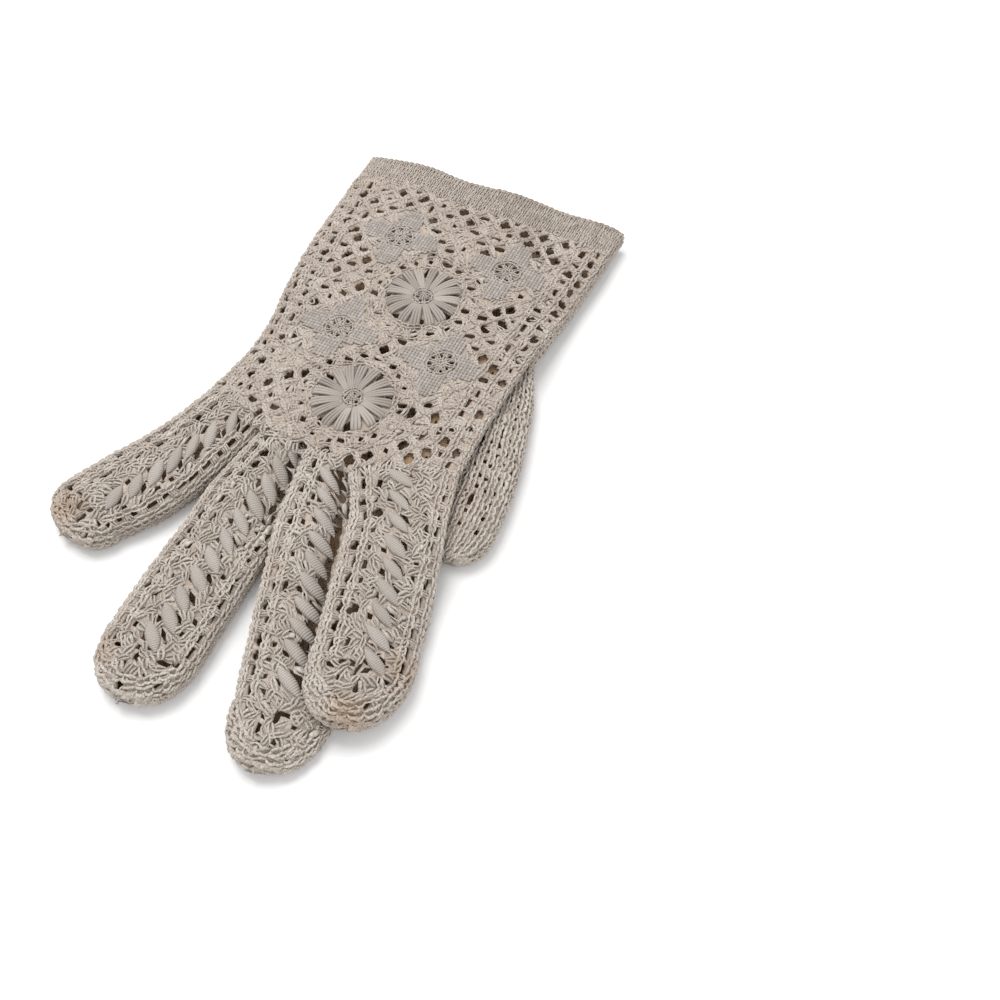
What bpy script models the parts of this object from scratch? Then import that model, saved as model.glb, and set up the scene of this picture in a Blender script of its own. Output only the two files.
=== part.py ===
"""Crocheted cotton dress glove for the right hand, lying palm down on a surface.

All tables are in millimetres. +Z is up, the fingers point along -Y, the thumb lies on the +X side,
and the origin is under the middle of the glove's box, on the surface that it rests on. The tables
count y from a place in the palm that lies ORIGIN_Y beyond it.
Every piece is a pierced sheet of even thickness, bent to the round of the hand or of a finger.
"""
import math

import bmesh
import bpy
import numpy as np
from mathutils.geometry import delaunay_2d_cdt

MM = 0.001
ORIGIN_Y = 4.4        # y of the tables' zero from the origin
WALL = 1.8            # thickness of the crocheted fabric
GAP = 0.3             # play between neighbouring pieces
PRESS = 0.2           # how far the underside is pressed flat on the surface
TOP_POWER = 2.6       # roundness of a finger's back, 2 is an ellipse
HAND_POWER = 3.4      # roundness of the back of the hand, flatter than a finger
UNDER_POWER = 5.0     # roundness of what lies on the surface
SMOOTH_ANGLE = math.radians(40)

COTTON = (0.60, 0.52, 0.44)
WOVEN = (0.66, 0.59, 0.52)
COTTON_ROUGHNESS = 0.9

# Hand: sections from the cuff to the knuckles, with columns y, left, right and top
HAND = np.array([
    (101.0, -47.0, 49.0, 9.6),
    (87.5, -46.4, 48.4, 10.5),
    (73.0, -45.2, 47.4, 11.2),
    (54.0, -44.4, 46.0, 11.4),
    (42.5, -43.0, 45.0, 11.4),
    (30.0, -40.8, 44.2, 11.4),
    (18.0, -38.2, 43.6, 11.4),
    (6.0, -37.0, 43.2, 11.4),
    (-6.0, -38.2, 43.2, 11.2),
    (-26.0, -41.6, 43.6, 10.8),
])

# Knuckle line: where the hand ends and the fingers begin, from the little finger to the index
KNUCKLES = np.array([(-60.0, -4.5), (-39.5, -12.0), (-18.0, -20.0), (0.6, -23.0), (14.4, -22.4), (43.5, -13.0),
                     (60.0, -8.0)])

# Cuff
CUFF_LOW = 87.8       # where the band starts
CUFF_HIGH = 98.8      # its top edge
CUFF_WAVE = 0.8       # how far the top edge waves
CUFF_ROWS = 5         # raised rows of single crochet
CUFF_RELIEF = 0.35

# The right edge of the hand rides up over the thumb
THUMB_MOUTH = 34.5    # y of the hole in the palm that the thumb grows from
THUMB_ROOM = 8.7      # height of the fabric's underside over the thumb
EDGE_LIFT = 5.4       # rise of the right edge there
BACK_LIFT = 2.2       # rise of the back there

# Digits: a row for each section, from the root to where the tip starts to round. Its columns are
# the x and y of its left edge, the x and y of its right edge, the height of the underside at the
# left edge, the middle and the right edge, and the height of the back at the same three places.
# tip is the x, y and height of the fingertip, strip is where the leaves start and end, as a share
# of the length, slant is their angle to the finger in degrees, and gaps is the number of gaps in
# the net on either side of them.
LEFT_EDGE = slice(0, 2)
RIGHT_EDGE = slice(2, 4)
LOWS = slice(4, 7)
HIGHS = slice(7, 10)
DIGITS = {
    "little": {
        "rows": np.array([
            (-39.6, -12.5, -18.3, -20.5, 0.0, 0.0, 0.0, 9.8, 10.4, 10.0),
            (-45.3, -31.6, -22.7, -41.6, 0.0, 0.0, 0.0, 9.6, 10.2, 9.6),
            (-53.4, -47.4, -28.6, -57.3, 0.0, 0.0, 0.0, 9.4, 10.0, 9.4),
            (-58.9, -59.5, -35.4, -67.1, 0.0, 0.0, 0.0, 9.2, 9.6, 9.2),
        ]),
        "tip": (-49.6, -73.4, 4.4), "strip": (0.20, 0.97), "leaves": 7, "slant": 31.0, "gaps": 3,
    },
    "ring": {
        "rows": np.array([
            (-17.9, -20.8, 2.0, -23.6, 0.0, 0.0, 0.0, 10.0, 10.4, 4.8),
            (-21.0, -42.5, 4.6, -43.0, 0.0, 0.0, 0.0, 9.6, 10.4, 5.2),
            (-20.6, -57.0, 5.3, -57.0, 0.0, 0.0, 0.0, 9.6, 10.2, 9.0),
            (-21.0, -75.0, 6.0, -74.5, 0.0, 0.0, 0.0, 9.6, 10.0, 9.6),
            (-20.5, -92.0, 6.6, -91.0, 0.0, 0.0, 0.0, 9.2, 9.6, 9.2),
        ]),
        "tip": (-6.4, -106.9, 4.4), "strip": (0.14, 0.96), "leaves": 11, "slant": 48.0, "gaps": 3,
    },
    "middle": {
        "rows": np.array([
            (-0.8, -23.9, 16.0, -23.3, 5.2, 0.0, 0.0, 11.0, 11.4, 4.8),
            (3.4, -46.0, 25.2, -40.8, 4.4, 0.0, 0.0, 11.0, 11.2, 4.6),
            (10.2, -67.5, 31.2, -60.3, 0.0, 0.0, 0.0, 10.2, 10.8, 4.6),
            (17.0, -86.0, 41.0, -79.6, 0.0, 0.0, 0.0, 9.8, 10.2, 4.4),
            (20.3, -94.5, 45.2, -90.6, 0.0, 0.0, 0.0, 9.2, 9.6, 5.4),
        ]),
        "tip": (34.3, -108.2, 4.2), "strip": (0.16, 0.94), "leaves": 10, "slant": 50.0, "gaps": 3,
    },
    "index": {
        "rows": np.array([
            (12.8, -23.4, 43.2, -13.5, 5.4, 0.6, 8.6, 11.2, 11.8, 13.4),
            (19.6, -33.8, 46.4, -26.6, 5.4, 3.6, 8.8, 11.8, 13.0, 13.8),
            (23.2, -43.4, 49.6, -37.0, 5.4, 2.6, 7.2, 12.0, 13.0, 13.2),
            (27.3, -58.0, 53.4, -51.5, 5.8, 1.0, 0.0, 12.4, 12.6, 10.8),
            (33.4, -77.5, 58.3, -71.5, 8.6, 3.0, 0.0, 13.8, 13.6, 10.4),
        ]),
        "tip": (47.4, -91.2, 7.6), "strip": (0.16, 0.97), "leaves": 9, "slant": 48.0, "gaps": 3,
    },
    "thumb": {
        "rows": np.array([
            (25.6, 33.4, 44.6, 35.2, 0.0, 0.0, 0.0, 7.8, 8.2, 8.4),
            (29.6, 18.2, 50.3, 21.4, 0.0, 0.0, 0.0, 6.0, 8.6, 9.4),
            (33.6, -2.0, 55.6, 1.6, 0.0, 0.0, 0.0, 5.4, 8.8, 10.0),
            (35.8, -16.0, 58.4, -14.0, 0.0, 0.0, 0.0, 4.8, 8.6, 10.0),
            (36.6, -25.4, 59.1, -24.6, 0.0, 0.0, 0.0, 4.6, 8.2, 9.6),
        ]),
        "tip": (48.4, -36.6, 3.4), "strip": None, "leaves": 0, "slant": 0.0, "gaps": 0,
    },
}

# Leaf strips on the backs of the fingers
STRIP_HALF = 0.42     # half width of the strip, as a share of the finger's half width
LEAF_LENGTH = 8.6
LEAF_WIDTH = 3.4
LEAF_RELIEF = 1.1
LEAF_PLAY = 0.9       # least distance from a leaf's tip to the strip's edge
SLIT_HALF = 0.5       # half width of the slit cut through beside a leaf
SLIT_PLAY = 0.75      # distance from the leaf's edge to the middle of its slit
SLIT_REACH = 0.45     # half length of the slit, as a share of the leaf's
LEAF_SHOULDER = 0.45  # where a leaf is widest, as a share of its half length
LEAF_FILL = 0.46      # the most of the space between leaves that half a leaf's length may take
LEAF_FAT = 0.31       # the same for half its width
LEAF_SPREAD = 0.56    # least share of the pitch that counts as space beside a leaf

# Motifs on the back of the hand
ROSETTE_RADIUS = 12.6
ROSETTE_PETALS = 8
ROSETTE_RELIEF = 0.9
ROSETTES = {"rosette_upper": (3.0, 42.6), "rosette_lower": (2.6, -2.0)}
FLOWER_RADIUS = 8.8
FLOWER_RELIEF = 0.5
FLOWERS = {
    "flower_upper_left": (-16.4, 63.4), "flower_upper_right": (22.4, 63.4),
    "flower_lower_left": (-14.8, 20.3), "flower_lower_right": (20.6, 20.3),
}
NET_RING_RADIUS = 15.9        # ring of net round a rosette
NET_GAP = 2.3                 # side of a gap in the coarse net
EDGE_NET_INSET = 6.5          # columns of net along the sides
EDGE_NET_START = 81.5         # y of the first gap in them
EDGE_NET_PITCH = 15.8
EDGE_NET_GAPS = 6
WRIST_NET = (-31.0, -4.0, 10.0, 37.0)
WRIST_NET_Y = 77.6


def ramp(value):
    """A smooth step from 0 to 1."""
    value = min(max(value, 0.0), 1.0)
    return value * value * (3.0 - 2.0 * value)


def dome(value, power):
    """Height of a rounded section of height 1 at value, from -1 to 1 across it."""
    return max(0.0, 1.0 - min(abs(value), 1.0) ** power) ** (1.0 / power)


def between(rows, place):
    """A row of a table at a place between its rows, on a smooth curve through them."""
    last = len(rows) - 1
    place = min(max(place, 0.0), float(last))
    start = min(int(place), last - 1)
    t = place - start
    before = rows[max(start - 1, 0)]
    here = rows[start]
    there = rows[start + 1]
    after = rows[min(start + 2, last)]
    slope_here = (there - before) / 2.0
    slope_there = (after - here) / 2.0
    return (here * (2 * t ** 3 - 3 * t ** 2 + 1) + slope_here * (t ** 3 - 2 * t ** 2 + t)
            + there * (3 * t ** 2 - 2 * t ** 3) + slope_there * (t ** 3 - t ** 2))


def hand_section(y):
    """Centre, half width and height of the hand at y."""
    place = np.interp(-y, -HAND[:, 0], np.arange(len(HAND)))
    _, left, right, top = between(HAND, place)
    return (left + right) / 2.0, (right - left) / 2.0, top


def hand_point(x, y, side, depth, room=None):
    """A point of the hand under or over (x, y), depth inside its outer surface.

    side is 1 on the back and -1 on the palm. room is how far the palm is lifted off the thumb.
    """
    centre, half, top = hand_section(y)
    v = min(max((x - centre) / half, -1.0), 1.0)
    over_thumb = ramp((62.0 - y) / 34.0)
    seam = top / 2.0 + EDGE_LIFT * over_thumb * ramp((v + 0.2) / 1.2)
    if side > 0:
        high = top + BACK_LIFT * over_thumb * ramp((v - 0.2) / 0.7)
        z = seam + (high - depth - seam) * dome(v, HAND_POWER)
    else:
        if room is None:
            room = 1.0 if y < THUMB_MOUTH else 0.0
        low = (THUMB_ROOM + PRESS) * room * ramp((v - 0.25) / 0.42) - PRESS
        z = max(seam - (seam - low - depth) * dome(v, UNDER_POWER), 0.0)
    return centre + v * (half - depth), y, z


def digit_point(digit, u, v, side, depth):
    """A point of a digit: u runs 0 to 1 from the root to the tip's start and 1 to 2 round the tip,
    v runs -1 to 1 from the left edge to the right one, side is 1 on the back and -1 underneath."""
    rows = digit["rows"]
    row = between(rows, min(u, 1.0) * (len(rows) - 1))
    left = row[LEFT_EDGE]
    right = row[RIGHT_EDGE]
    lows = row[LOWS]
    highs = row[HIGHS]
    centre = (left + right) / 2.0
    across = (right - left) / 2.0
    half = float(np.hypot(*across))
    across = across * (half - depth) / half
    end = 1 if v > 0 else -1
    share = ramp(abs(v))
    low = lows[1] + (lows[1 + end] - lows[1]) * share - PRESS
    high = highs[1] + (highs[1 + end] - highs[1]) * share
    seam = (low + high) / 2.0
    rise = ((high - low) / 2.0 - depth) * dome(v, TOP_POWER if side > 0 else UNDER_POWER)
    z = seam + side * rise
    xy = centre + across * v
    if u > 1.0:
        turn = (u - 1.0) * math.pi / 2.0
        tip = np.array(digit["tip"][0:2])
        reach = tip - centre
        length = float(np.hypot(*reach))
        shrink = math.cos(turn) ** 0.85
        xy = centre + across * v * shrink + reach * (length - depth) / length * math.sin(turn)
        z = digit["tip"][2] + (z - digit["tip"][2]) * shrink
    return xy[0], xy[1], max(z, 0.0)


def knuckle_y(x):
    return float(np.interp(x, KNUCKLES[:, 0], KNUCKLES[:, 1]))


def sheet(name, outer, inner, faces, colour):
    """An object made of one sheet of fabric: outer and inner points face each other one to one,
    faces lists the outer side, and every open edge gets a wall between the two sides."""
    count = len(outer)
    edges = {}
    for face in faces:
        for a, b in zip(face, face[1:] + face[:1]):
            edges[(a, b)] = True
    solid = [tuple(face) for face in faces]
    solid += [tuple(index + count for index in reversed(face)) for face in faces]
    solid += [(b, a, a + count, b + count) for a, b in edges if (b, a) not in edges]
    points = [(x * MM, (y + ORIGIN_Y) * MM, z * MM) for x, y, z in list(outer) + list(inner)]

    mesh = bpy.data.meshes.new(name)
    mesh.from_pydata(points, [], solid)
    shape = bmesh.new()
    shape.from_mesh(mesh)
    loose = [vertex for vertex in shape.verts if not vertex.link_faces]
    bmesh.ops.delete(shape, geom=loose, context="VERTS")
    bmesh.ops.triangulate(shape, faces=shape.faces[:])
    bmesh.ops.recalc_face_normals(shape, faces=shape.faces[:])
    shape.to_mesh(mesh)
    shape.free()
    mesh.shade_smooth()
    mesh.set_sharp_from_angle(angle=SMOOTH_ANGLE)
    mesh.materials.append(cotton(name, colour))
    piece = bpy.data.objects.new(name, mesh)
    bpy.context.scene.collection.objects.link(piece)
    piece.parent = bpy.data.objects["glove"]
    return piece


def cotton(name, colour):
    """Matt cotton thread."""
    material = bpy.data.materials.new(name + "_cotton")
    material.use_nodes = True
    shader = material.node_tree.nodes["Principled BSDF"]
    shader.inputs["Base Color"].default_value = (*colour, 1.0)
    shader.inputs["Roughness"].default_value = COTTON_ROUGHNESS
    shader.inputs["Metallic"].default_value = 0.0
    return material


def inside(point, outline):
    """True where a flat point lies inside a closed outline."""
    x, y = point
    hit = False
    for (x1, y1), (x2, y2) in zip(outline, outline[1:] + outline[:1]):
        if (y1 > y) != (y2 > y) and x < x1 + (y - y1) * (x2 - x1) / (y2 - y1):
            hit = not hit
    return hit


def cut_cloth(outline, gaps, lines=(), dots=()):
    """Triangles of a flat cloth with gaps cut out. lines are chains of points that edges follow.

    Returns the flat points and the faces.
    """
    points = []
    edges = []
    for chain, closed in [(outline, True)] + [(gap, True) for gap in gaps] + [(line, False) for line in lines]:
        first = len(points)
        points.extend(chain)
        edges.extend((first + i, first + i + 1) for i in range(len(chain) - 1))
        if closed:
            edges.append((first + len(chain) - 1, first))
    points.extend(dots)
    flat, _, faces, _, _, _ = delaunay_2d_cdt(points, edges, [], 0, 1e-4)
    flat = [(point[0], point[1]) for point in flat]
    kept = []
    for face in faces:
        middle = (sum(flat[i][0] for i in face) / 3.0, sum(flat[i][1] for i in face) / 3.0)
        if inside(middle, outline) and not any(inside(middle, gap) for gap in gaps):
            kept.append(list(face))
    return flat, kept


def regular(centre, radius, sides, turn=0.0):
    """Corners of a regular outline."""
    steps = [turn + 2.0 * math.pi * i / sides for i in range(sides)]
    return [(centre[0] + radius * math.cos(a), centre[1] + radius * math.sin(a)) for a in steps]


def flower_outline(centre, play=0.0):
    """Four-lobed outline of a woven flower block."""
    points = []
    for i in range(16):
        a = 2.0 * math.pi * i / 16
        radius = FLOWER_RADIUS - play + 0.7 * math.cos(4.0 * a)
        points.append((centre[0] + radius * math.cos(a), centre[1] + radius * math.sin(a)))
    return points


def net_gaps():
    """Gaps of the coarse net on the back: round the rosettes, down both sides and under the cuff."""
    gaps = []
    for centre in ROSETTES.values():
        for i in range(ROSETTE_PETALS):
            a = 2.0 * math.pi * (i + 0.5) / ROSETTE_PETALS
            place = (centre[0] + NET_RING_RADIUS * math.cos(a), centre[1] + NET_RING_RADIUS * math.sin(a))
            gaps.append(regular(place, NET_GAP * 0.62, 4, a))
    for i in range(EDGE_NET_GAPS):
        y = EDGE_NET_START - i * EDGE_NET_PITCH
        centre, half, _ = hand_section(y)
        for side in (-1, 1):
            place = (centre + side * (half - EDGE_NET_INSET), y)
            gaps.append(regular(place, NET_GAP, 4, math.pi / 4))
    for x in WRIST_NET:
        gaps.append(regular((x, WRIST_NET_Y), NET_GAP, 4, 0.0))
    return gaps


def make_back_panel():
    """Lace back of the hand, from the cuff to the knuckles and from edge to edge."""
    levels = np.linspace(CUFF_LOW - GAP, 0.0, 12)
    side_shares = (1.0, 0.985, 0.94, 0.86, 0.74)
    ends = {}
    for side in (-1, 1):
        for share in side_shares:
            y = 0.0
            for _ in range(6):
                centre, half, _ = hand_section(y)
                y = knuckle_y(centre + side * share * half)
            ends[side, share] = y

    def lengthwise(side, share):
        low = ends[side, share]
        ys = np.linspace(CUFF_LOW - GAP, low, 13)
        chain = []
        for y in ys:
            centre, half, _ = hand_section(y)
            chain.append((centre + side * share * half, float(y)))
        return chain

    left = lengthwise(-1, 1.0)
    right = lengthwise(1, 1.0)
    bottom = [(x, y) for x, y in KNUCKLES.tolist() if left[-1][0] + 1 < x < right[-1][0] - 1]
    top_shares = (-0.985, -0.94, -0.86, -0.74, -0.4, 0.0, 0.4, 0.74, 0.86, 0.94, 0.985)
    centre, half, _ = hand_section(CUFF_LOW - GAP)
    top = [(centre + share * half, CUFF_LOW - GAP) for share in reversed(top_shares)]
    outline = left + bottom + right[::-1] + top
    gaps = [regular(place, ROSETTE_RADIUS + GAP, 24) for place in ROSETTES.values()]
    gaps += [flower_outline(place, -GAP) for place in FLOWERS.values()]
    gaps += net_gaps()
    dots = []
    for side in (-1, 1):
        for share in side_shares[1:]:
            for x, y in lengthwise(side, share)[1:-1]:
                if not any(inside((x, y), gap) for gap in gaps):
                    dots.append((x, y))
    for y in levels[1:]:
        for x in (-22.0, -6.0, 10.0, 26.0):
            if not any(near((x, y), gap) for gap in gaps):
                dots.append((x, float(y)))
    flat, faces = cut_cloth(outline, gaps, dots=dots)
    outer = [hand_point(x, y, 1, 0.0) for x, y in flat]
    inner = [hand_point(x, y, 1, WALL) for x, y in flat]
    seat = [(x, y, z + GAP / 2) for x, y, z in outer]
    seat_in = [(x, y, z + GAP / 2) for x, y, z in inner]
    sheet("back_panel", seat, seat_in, faces, COTTON)


def near(point, outline, margin=1.5):
    """True inside an outline or close to one of its corners."""
    if inside(point, outline):
        return True
    return any(math.hypot(point[0] - x, point[1] - y) < margin for x, y in outline)


def make_palm_panel():
    """Plain palm. The fabric steps up over the thumb, and the step is left open as the thumb's hole."""
    shares = (-1.0, -0.985, -0.94, -0.84, -0.6, -0.25, 0.1, 0.34, 0.48, 0.62, 0.76, 0.88, 0.96, 0.99, 1.0)
    mouth = THUMB_MOUTH
    levels = [(CUFF_LOW - GAP, 0.0), (79.0, 0.0), (67.0, 0.0), (56.0, 0.0), (46.0, 0.0), (mouth + 2.6, 0.0),
              (mouth, 1.0), (24.0, 1.0), (12.0, 1.0), (0.0, 1.0), (-8.0, 1.0), (None, 1.0)]
    outer = []
    inner = []
    for y, room in levels:
        for share in shares:
            place = y
            if place is None:
                place = -12.0
                for _ in range(6):
                    centre, half, _ = hand_section(place)
                    place = knuckle_y(centre + share * half)
            centre, half, _ = hand_section(place)
            outer.append(hand_point(centre + share * half, place, -1, 0.0, room))
            inner.append(hand_point(centre + share * half, place, -1, WALL, room))
    wide = len(shares)
    faces = []
    for row in range(len(levels) - 1):
        for column in range(wide - 1):
            is_mouth = row == 5 and 7 <= column < 12
            if not is_mouth:
                a = row * wide + column
                faces.append([a, a + 1, a + 1 + wide, a + wide])
    seat = [(x, y, max(z - GAP / 2, 0.0)) for x, y, z in outer]
    seat_in = [(x, y, z - GAP / 2) for x, y, z in inner]
    sheet("palm_panel", seat, seat_in, faces, COTTON)


def make_cuff():
    """Band of single crochet round the wrist: raised rows and a wavy top edge."""
    upper = (-1.0, -0.985, -0.93, -0.8, -0.5, -0.17, 0.17, 0.5, 0.8, 0.93, 0.985)
    lower = (1.0, 0.985, 0.93, 0.75, 0.3, -0.3, -0.75, -0.93, -0.985)
    around = [(v, 1) for v in upper] + [(v, -1) for v in lower]
    rows = 2 * CUFF_ROWS + 1
    outer = []
    inner = []
    for row in range(rows):
        share = row / (rows - 1)
        for v, side in around:
            wave = CUFF_WAVE * math.sin(9.0 * v) * share * (1 if side > 0 else 0.4)
            y = CUFF_LOW + (CUFF_HIGH + wave - CUFF_LOW) * share
            centre, half, _ = hand_section(y)
            relief = CUFF_RELIEF * (row % 2)
            x, _, z = hand_point(centre + v * half, y, side, -relief, 0.0)
            outer.append((x, y, max(z, 0.0)))
            inner.append(hand_point(centre + v * half, y, side, WALL, 0.0))
    wide = len(around)
    faces = []
    for row in range(rows - 1):
        for column in range(wide):
            a = row * wide + column
            b = row * wide + (column + 1) % wide
            faces.append([a, b, b + wide, a + wide])
    sheet("cuff_band", outer, inner, faces, COTTON)


def strip_span(digit):
    """Length in mm and mean half width of the opening for a leaf strip."""
    start, end = digit["strip"]
    a = np.array(digit_point(digit, start, 0.0, 1, 0.0))
    b = np.array(digit_point(digit, end, 0.0, 1, 0.0))
    c = np.array(digit_point(digit, (start + end) / 2, STRIP_HALF, 1, 0.0))
    d = np.array(digit_point(digit, (start + end) / 2, -STRIP_HALF, 1, 0.0))
    return float(np.linalg.norm(b - a)), float(np.linalg.norm(c - d)) / 2.0


def make_digit(name, digit):
    """Hollow digit with a closed round tip, an open root, the opening for its leaves and side gaps."""
    has_strip = digit["strip"] is not None
    upper = (-1.0, -0.95, -0.82, -0.62, -STRIP_HALF, 0.0, STRIP_HALF, 0.62, 0.82, 0.95)
    lower = (1.0, 0.93, 0.6, 0.0, -0.6, -0.93)
    around = [(v, 1) for v in upper] + [(v, -1) for v in lower]
    if has_strip:
        start, end = digit["strip"]
        inner_steps = 2 * digit["gaps"] + 1
        steps = [0.0] + [start + (end - start) * i / inner_steps for i in range(inner_steps + 1)] + [1.0]
    else:
        steps = [i / 6 for i in range(7)]
    steps += [1.28, 1.52, 1.74, 1.9]
    outer = []
    inner = []
    for u in steps:
        for v, side in around:
            outer.append(digit_point(digit, u, v, side, 0.0))
            inner.append(digit_point(digit, u, v, side, WALL))
    wide = len(around)
    faces = []
    for row in range(len(steps) - 1):
        for column in range(wide):
            a = row * wide + column
            b = row * wide + (column + 1) % wide
            in_strip = has_strip and 1 <= row <= inner_steps and column in (4, 5)
            in_net = has_strip and 1 <= row <= inner_steps and row % 2 == 0 and column in (2, 7)
            if not in_strip and not in_net:
                faces.append([a, b, b + wide, a + wide])
    outer.append(digit_point(digit, 2.0, 0.0, 1, 0.0))
    inner.append(digit_point(digit, 2.0, 0.0, 1, WALL))
    pole = len(outer) - 1
    last = (len(steps) - 1) * wide
    for column in range(wide):
        faces.append([last + column, last + (column + 1) % wide, pole])
    sheet(name, outer, inner, faces, COTTON)


def make_leaves(name, digit):
    """Strip of slanted woven leaves, with a slit cut through beside every leaf but the first."""
    length, half = strip_span(digit)
    start, end = digit["strip"]
    count = digit["leaves"]
    low = GAP
    high = length - GAP
    side = half - GAP
    edge_steps = 12
    outline = [(-side, low + (high - low) * i / edge_steps) for i in range(edge_steps + 1)]
    outline += [(0.0, high)]
    outline += [(side, high - (high - low) * i / edge_steps) for i in range(edge_steps + 1)]
    outline += [(0.0, low)]
    slant = math.radians(digit["slant"])
    along = (math.sin(slant), math.cos(slant))
    across = (math.cos(slant), -math.sin(slant))
    pitch = (high - low - 2 * LEAF_PLAY) / count
    spacing = pitch * max(along[0], LEAF_SPREAD)
    reach = min(LEAF_LENGTH / 2, (side - LEAF_PLAY) / along[0], pitch * LEAF_FILL / along[1])
    wide = min(LEAF_WIDTH / 2, spacing * LEAF_FAT)
    slit_reach = reach * SLIT_REACH
    shoulder = reach * LEAF_SHOULDER
    relief = {}
    lines = []
    gaps = []

    def spot(middle, forward, sideways):
        return (middle[0] + along[0] * forward + across[0] * sideways,
                middle[1] + along[1] * forward + across[1] * sideways)

    for i in range(count):
        middle = (0.0, low + LEAF_PLAY + pitch * (i + 0.5))
        rim = [spot(middle, -reach, 0.0), spot(middle, -shoulder, wide), spot(middle, shoulder, wide),
               spot(middle, reach, 0.0), spot(middle, shoulder, -wide), spot(middle, -shoulder, -wide)]
        ridge = [spot(middle, -reach * 0.5, 0.0), spot(middle, reach * 0.5, 0.0)]
        lines.append(rim + rim[:1])
        lines.append(ridge)
        for point in ridge:
            relief[round(point[0], 3), round(point[1], 3)] = LEAF_RELIEF
        for point in rim:
            relief[round(point[0], 3), round(point[1], 3)] = 0.15
        if i > 0:
            beside = spot(middle, reach * 0.1, wide + SLIT_PLAY)
            gaps.append([spot(beside, -slit_reach, 0.0), spot(beside, 0.0, -SLIT_HALF),
                         spot(beside, slit_reach, 0.0), spot(beside, 0.0, SLIT_HALF)])
    flat, faces = cut_cloth(outline, gaps, lines=lines)
    outer = []
    inner = []
    for b, a in flat:
        raised = relief.get((round(b, 3), round(a, 3)), 0.0)
        u = start + (end - start) * a / length
        v = b / half * STRIP_HALF
        outer.append(digit_point(digit, u, v, 1, -raised))
        inner.append(digit_point(digit, u, v, 1, WALL))
    sheet(name, outer, inner, faces, WOVEN)


def make_rosette(name, centre):
    """Wheel of padded petals round a small hub, with a wedge cut through between each two."""
    outline = regular(centre, ROSETTE_RADIUS, 24)
    relief = {}
    lines = []
    gaps = []

    def spot(radius, angle):
        return (centre[0] + radius * math.cos(angle), centre[1] + radius * math.sin(angle))

    for i in range(ROSETTE_PETALS):
        a = 2.0 * math.pi * i / ROSETTE_PETALS
        rim = [spot(2.6, a - 0.2), spot(8.0, a - 0.26), spot(11.4, a - 0.2), spot(11.9, a), spot(11.4, a + 0.2),
               spot(8.0, a + 0.26), spot(2.6, a + 0.2)]
        ridge = [spot(3.6, a), spot(7.2, a), spot(10.4, a)]
        lines.append(rim + rim[:1])
        lines.append(ridge)
        for point in ridge:
            relief[round(point[0], 3), round(point[1], 3)] = ROSETTE_RELIEF
        for point in rim:
            relief[round(point[0], 3), round(point[1], 3)] = 0.15
        b = a + math.pi / ROSETTE_PETALS
        gaps.append([spot(5.6, b), spot(11.0, b - 0.13), spot(11.0, b + 0.13)])
    lines.append(regular(centre, 1.5, 8) + regular(centre, 1.5, 8)[:1])
    flat, faces = cut_cloth(outline, gaps, lines=lines, dots=[centre])
    place_motif(name, flat, faces, relief)


def make_flower(name, centre):
    """Four-lobed woven block with four gaps round its eye."""
    outline = flower_outline(centre, 0.0)
    relief = {}
    gaps = []

    def spot(radius, angle):
        return (centre[0] + radius * math.cos(angle), centre[1] + radius * math.sin(angle))

    for i in range(4):
        a = math.pi / 4 + math.pi / 2 * i
        gaps.append([spot(1.7, a), spot(3.2, a - 0.42), spot(4.6, a), spot(3.2, a + 0.42)])
    crown = [spot(6.4, math.pi / 6 * i) for i in range(12)]
    for point in crown:
        relief[round(point[0], 3), round(point[1], 3)] = FLOWER_RELIEF
    flat, faces = cut_cloth(outline, gaps, dots=crown + [centre])
    place_motif(name, flat, faces, relief)


def place_motif(name, flat, faces, relief):
    """Bends a flat motif to the back of the hand and raises the points that relief names."""
    outer = []
    inner = []
    for x, y in flat:
        x2, y2, z = hand_point(x, y, 1, 0.0)
        outer.append((x2, y2, z + GAP / 2 + relief.get((round(x, 3), round(y, 3)), 0.0)))
        x2, y2, z = hand_point(x, y, 1, WALL)
        inner.append((x2, y2, z + GAP / 2))
    sheet(name, outer, inner, faces, WOVEN)


def main():
    for old in list(bpy.data.objects):
        bpy.data.objects.remove(old, do_unlink=True)
    root = bpy.data.objects.new("glove", None)
    bpy.context.scene.collection.objects.link(root)
    make_cuff()
    make_back_panel()
    make_palm_panel()
    for name, centre in ROSETTES.items():
        make_rosette(name, centre)
    for name, centre in FLOWERS.items():
        make_flower(name, centre)
    for name, digit in DIGITS.items():
        make_digit("thumb" if name == "thumb" else name + "_finger", digit)
        if digit["strip"] is not None:
            make_leaves(name + "_leaves", digit)


main()
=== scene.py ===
"""Looks of a crocheted cotton dress glove, lying palm down on a pale floor.

Each stitch, leaf, petal and net cell is modelled once, and copied along the paths of the crochet
onto the surface of the hollow glove. Lengths are in millimetres until a piece is finished.
"""

import math

import bpy
import numpy as np
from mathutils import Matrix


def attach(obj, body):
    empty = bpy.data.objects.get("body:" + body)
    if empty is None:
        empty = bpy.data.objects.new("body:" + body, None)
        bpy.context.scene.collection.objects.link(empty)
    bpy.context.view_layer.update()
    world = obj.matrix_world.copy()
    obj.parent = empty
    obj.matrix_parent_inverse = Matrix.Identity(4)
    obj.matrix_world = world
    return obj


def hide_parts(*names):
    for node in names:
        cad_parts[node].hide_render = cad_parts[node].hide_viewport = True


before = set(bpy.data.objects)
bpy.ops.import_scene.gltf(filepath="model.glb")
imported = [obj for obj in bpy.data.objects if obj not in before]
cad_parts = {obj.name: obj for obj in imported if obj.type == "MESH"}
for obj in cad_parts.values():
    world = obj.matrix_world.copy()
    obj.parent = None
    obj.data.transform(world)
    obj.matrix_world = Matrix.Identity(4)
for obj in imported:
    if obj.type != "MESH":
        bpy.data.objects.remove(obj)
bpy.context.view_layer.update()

MM = 0.001
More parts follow.
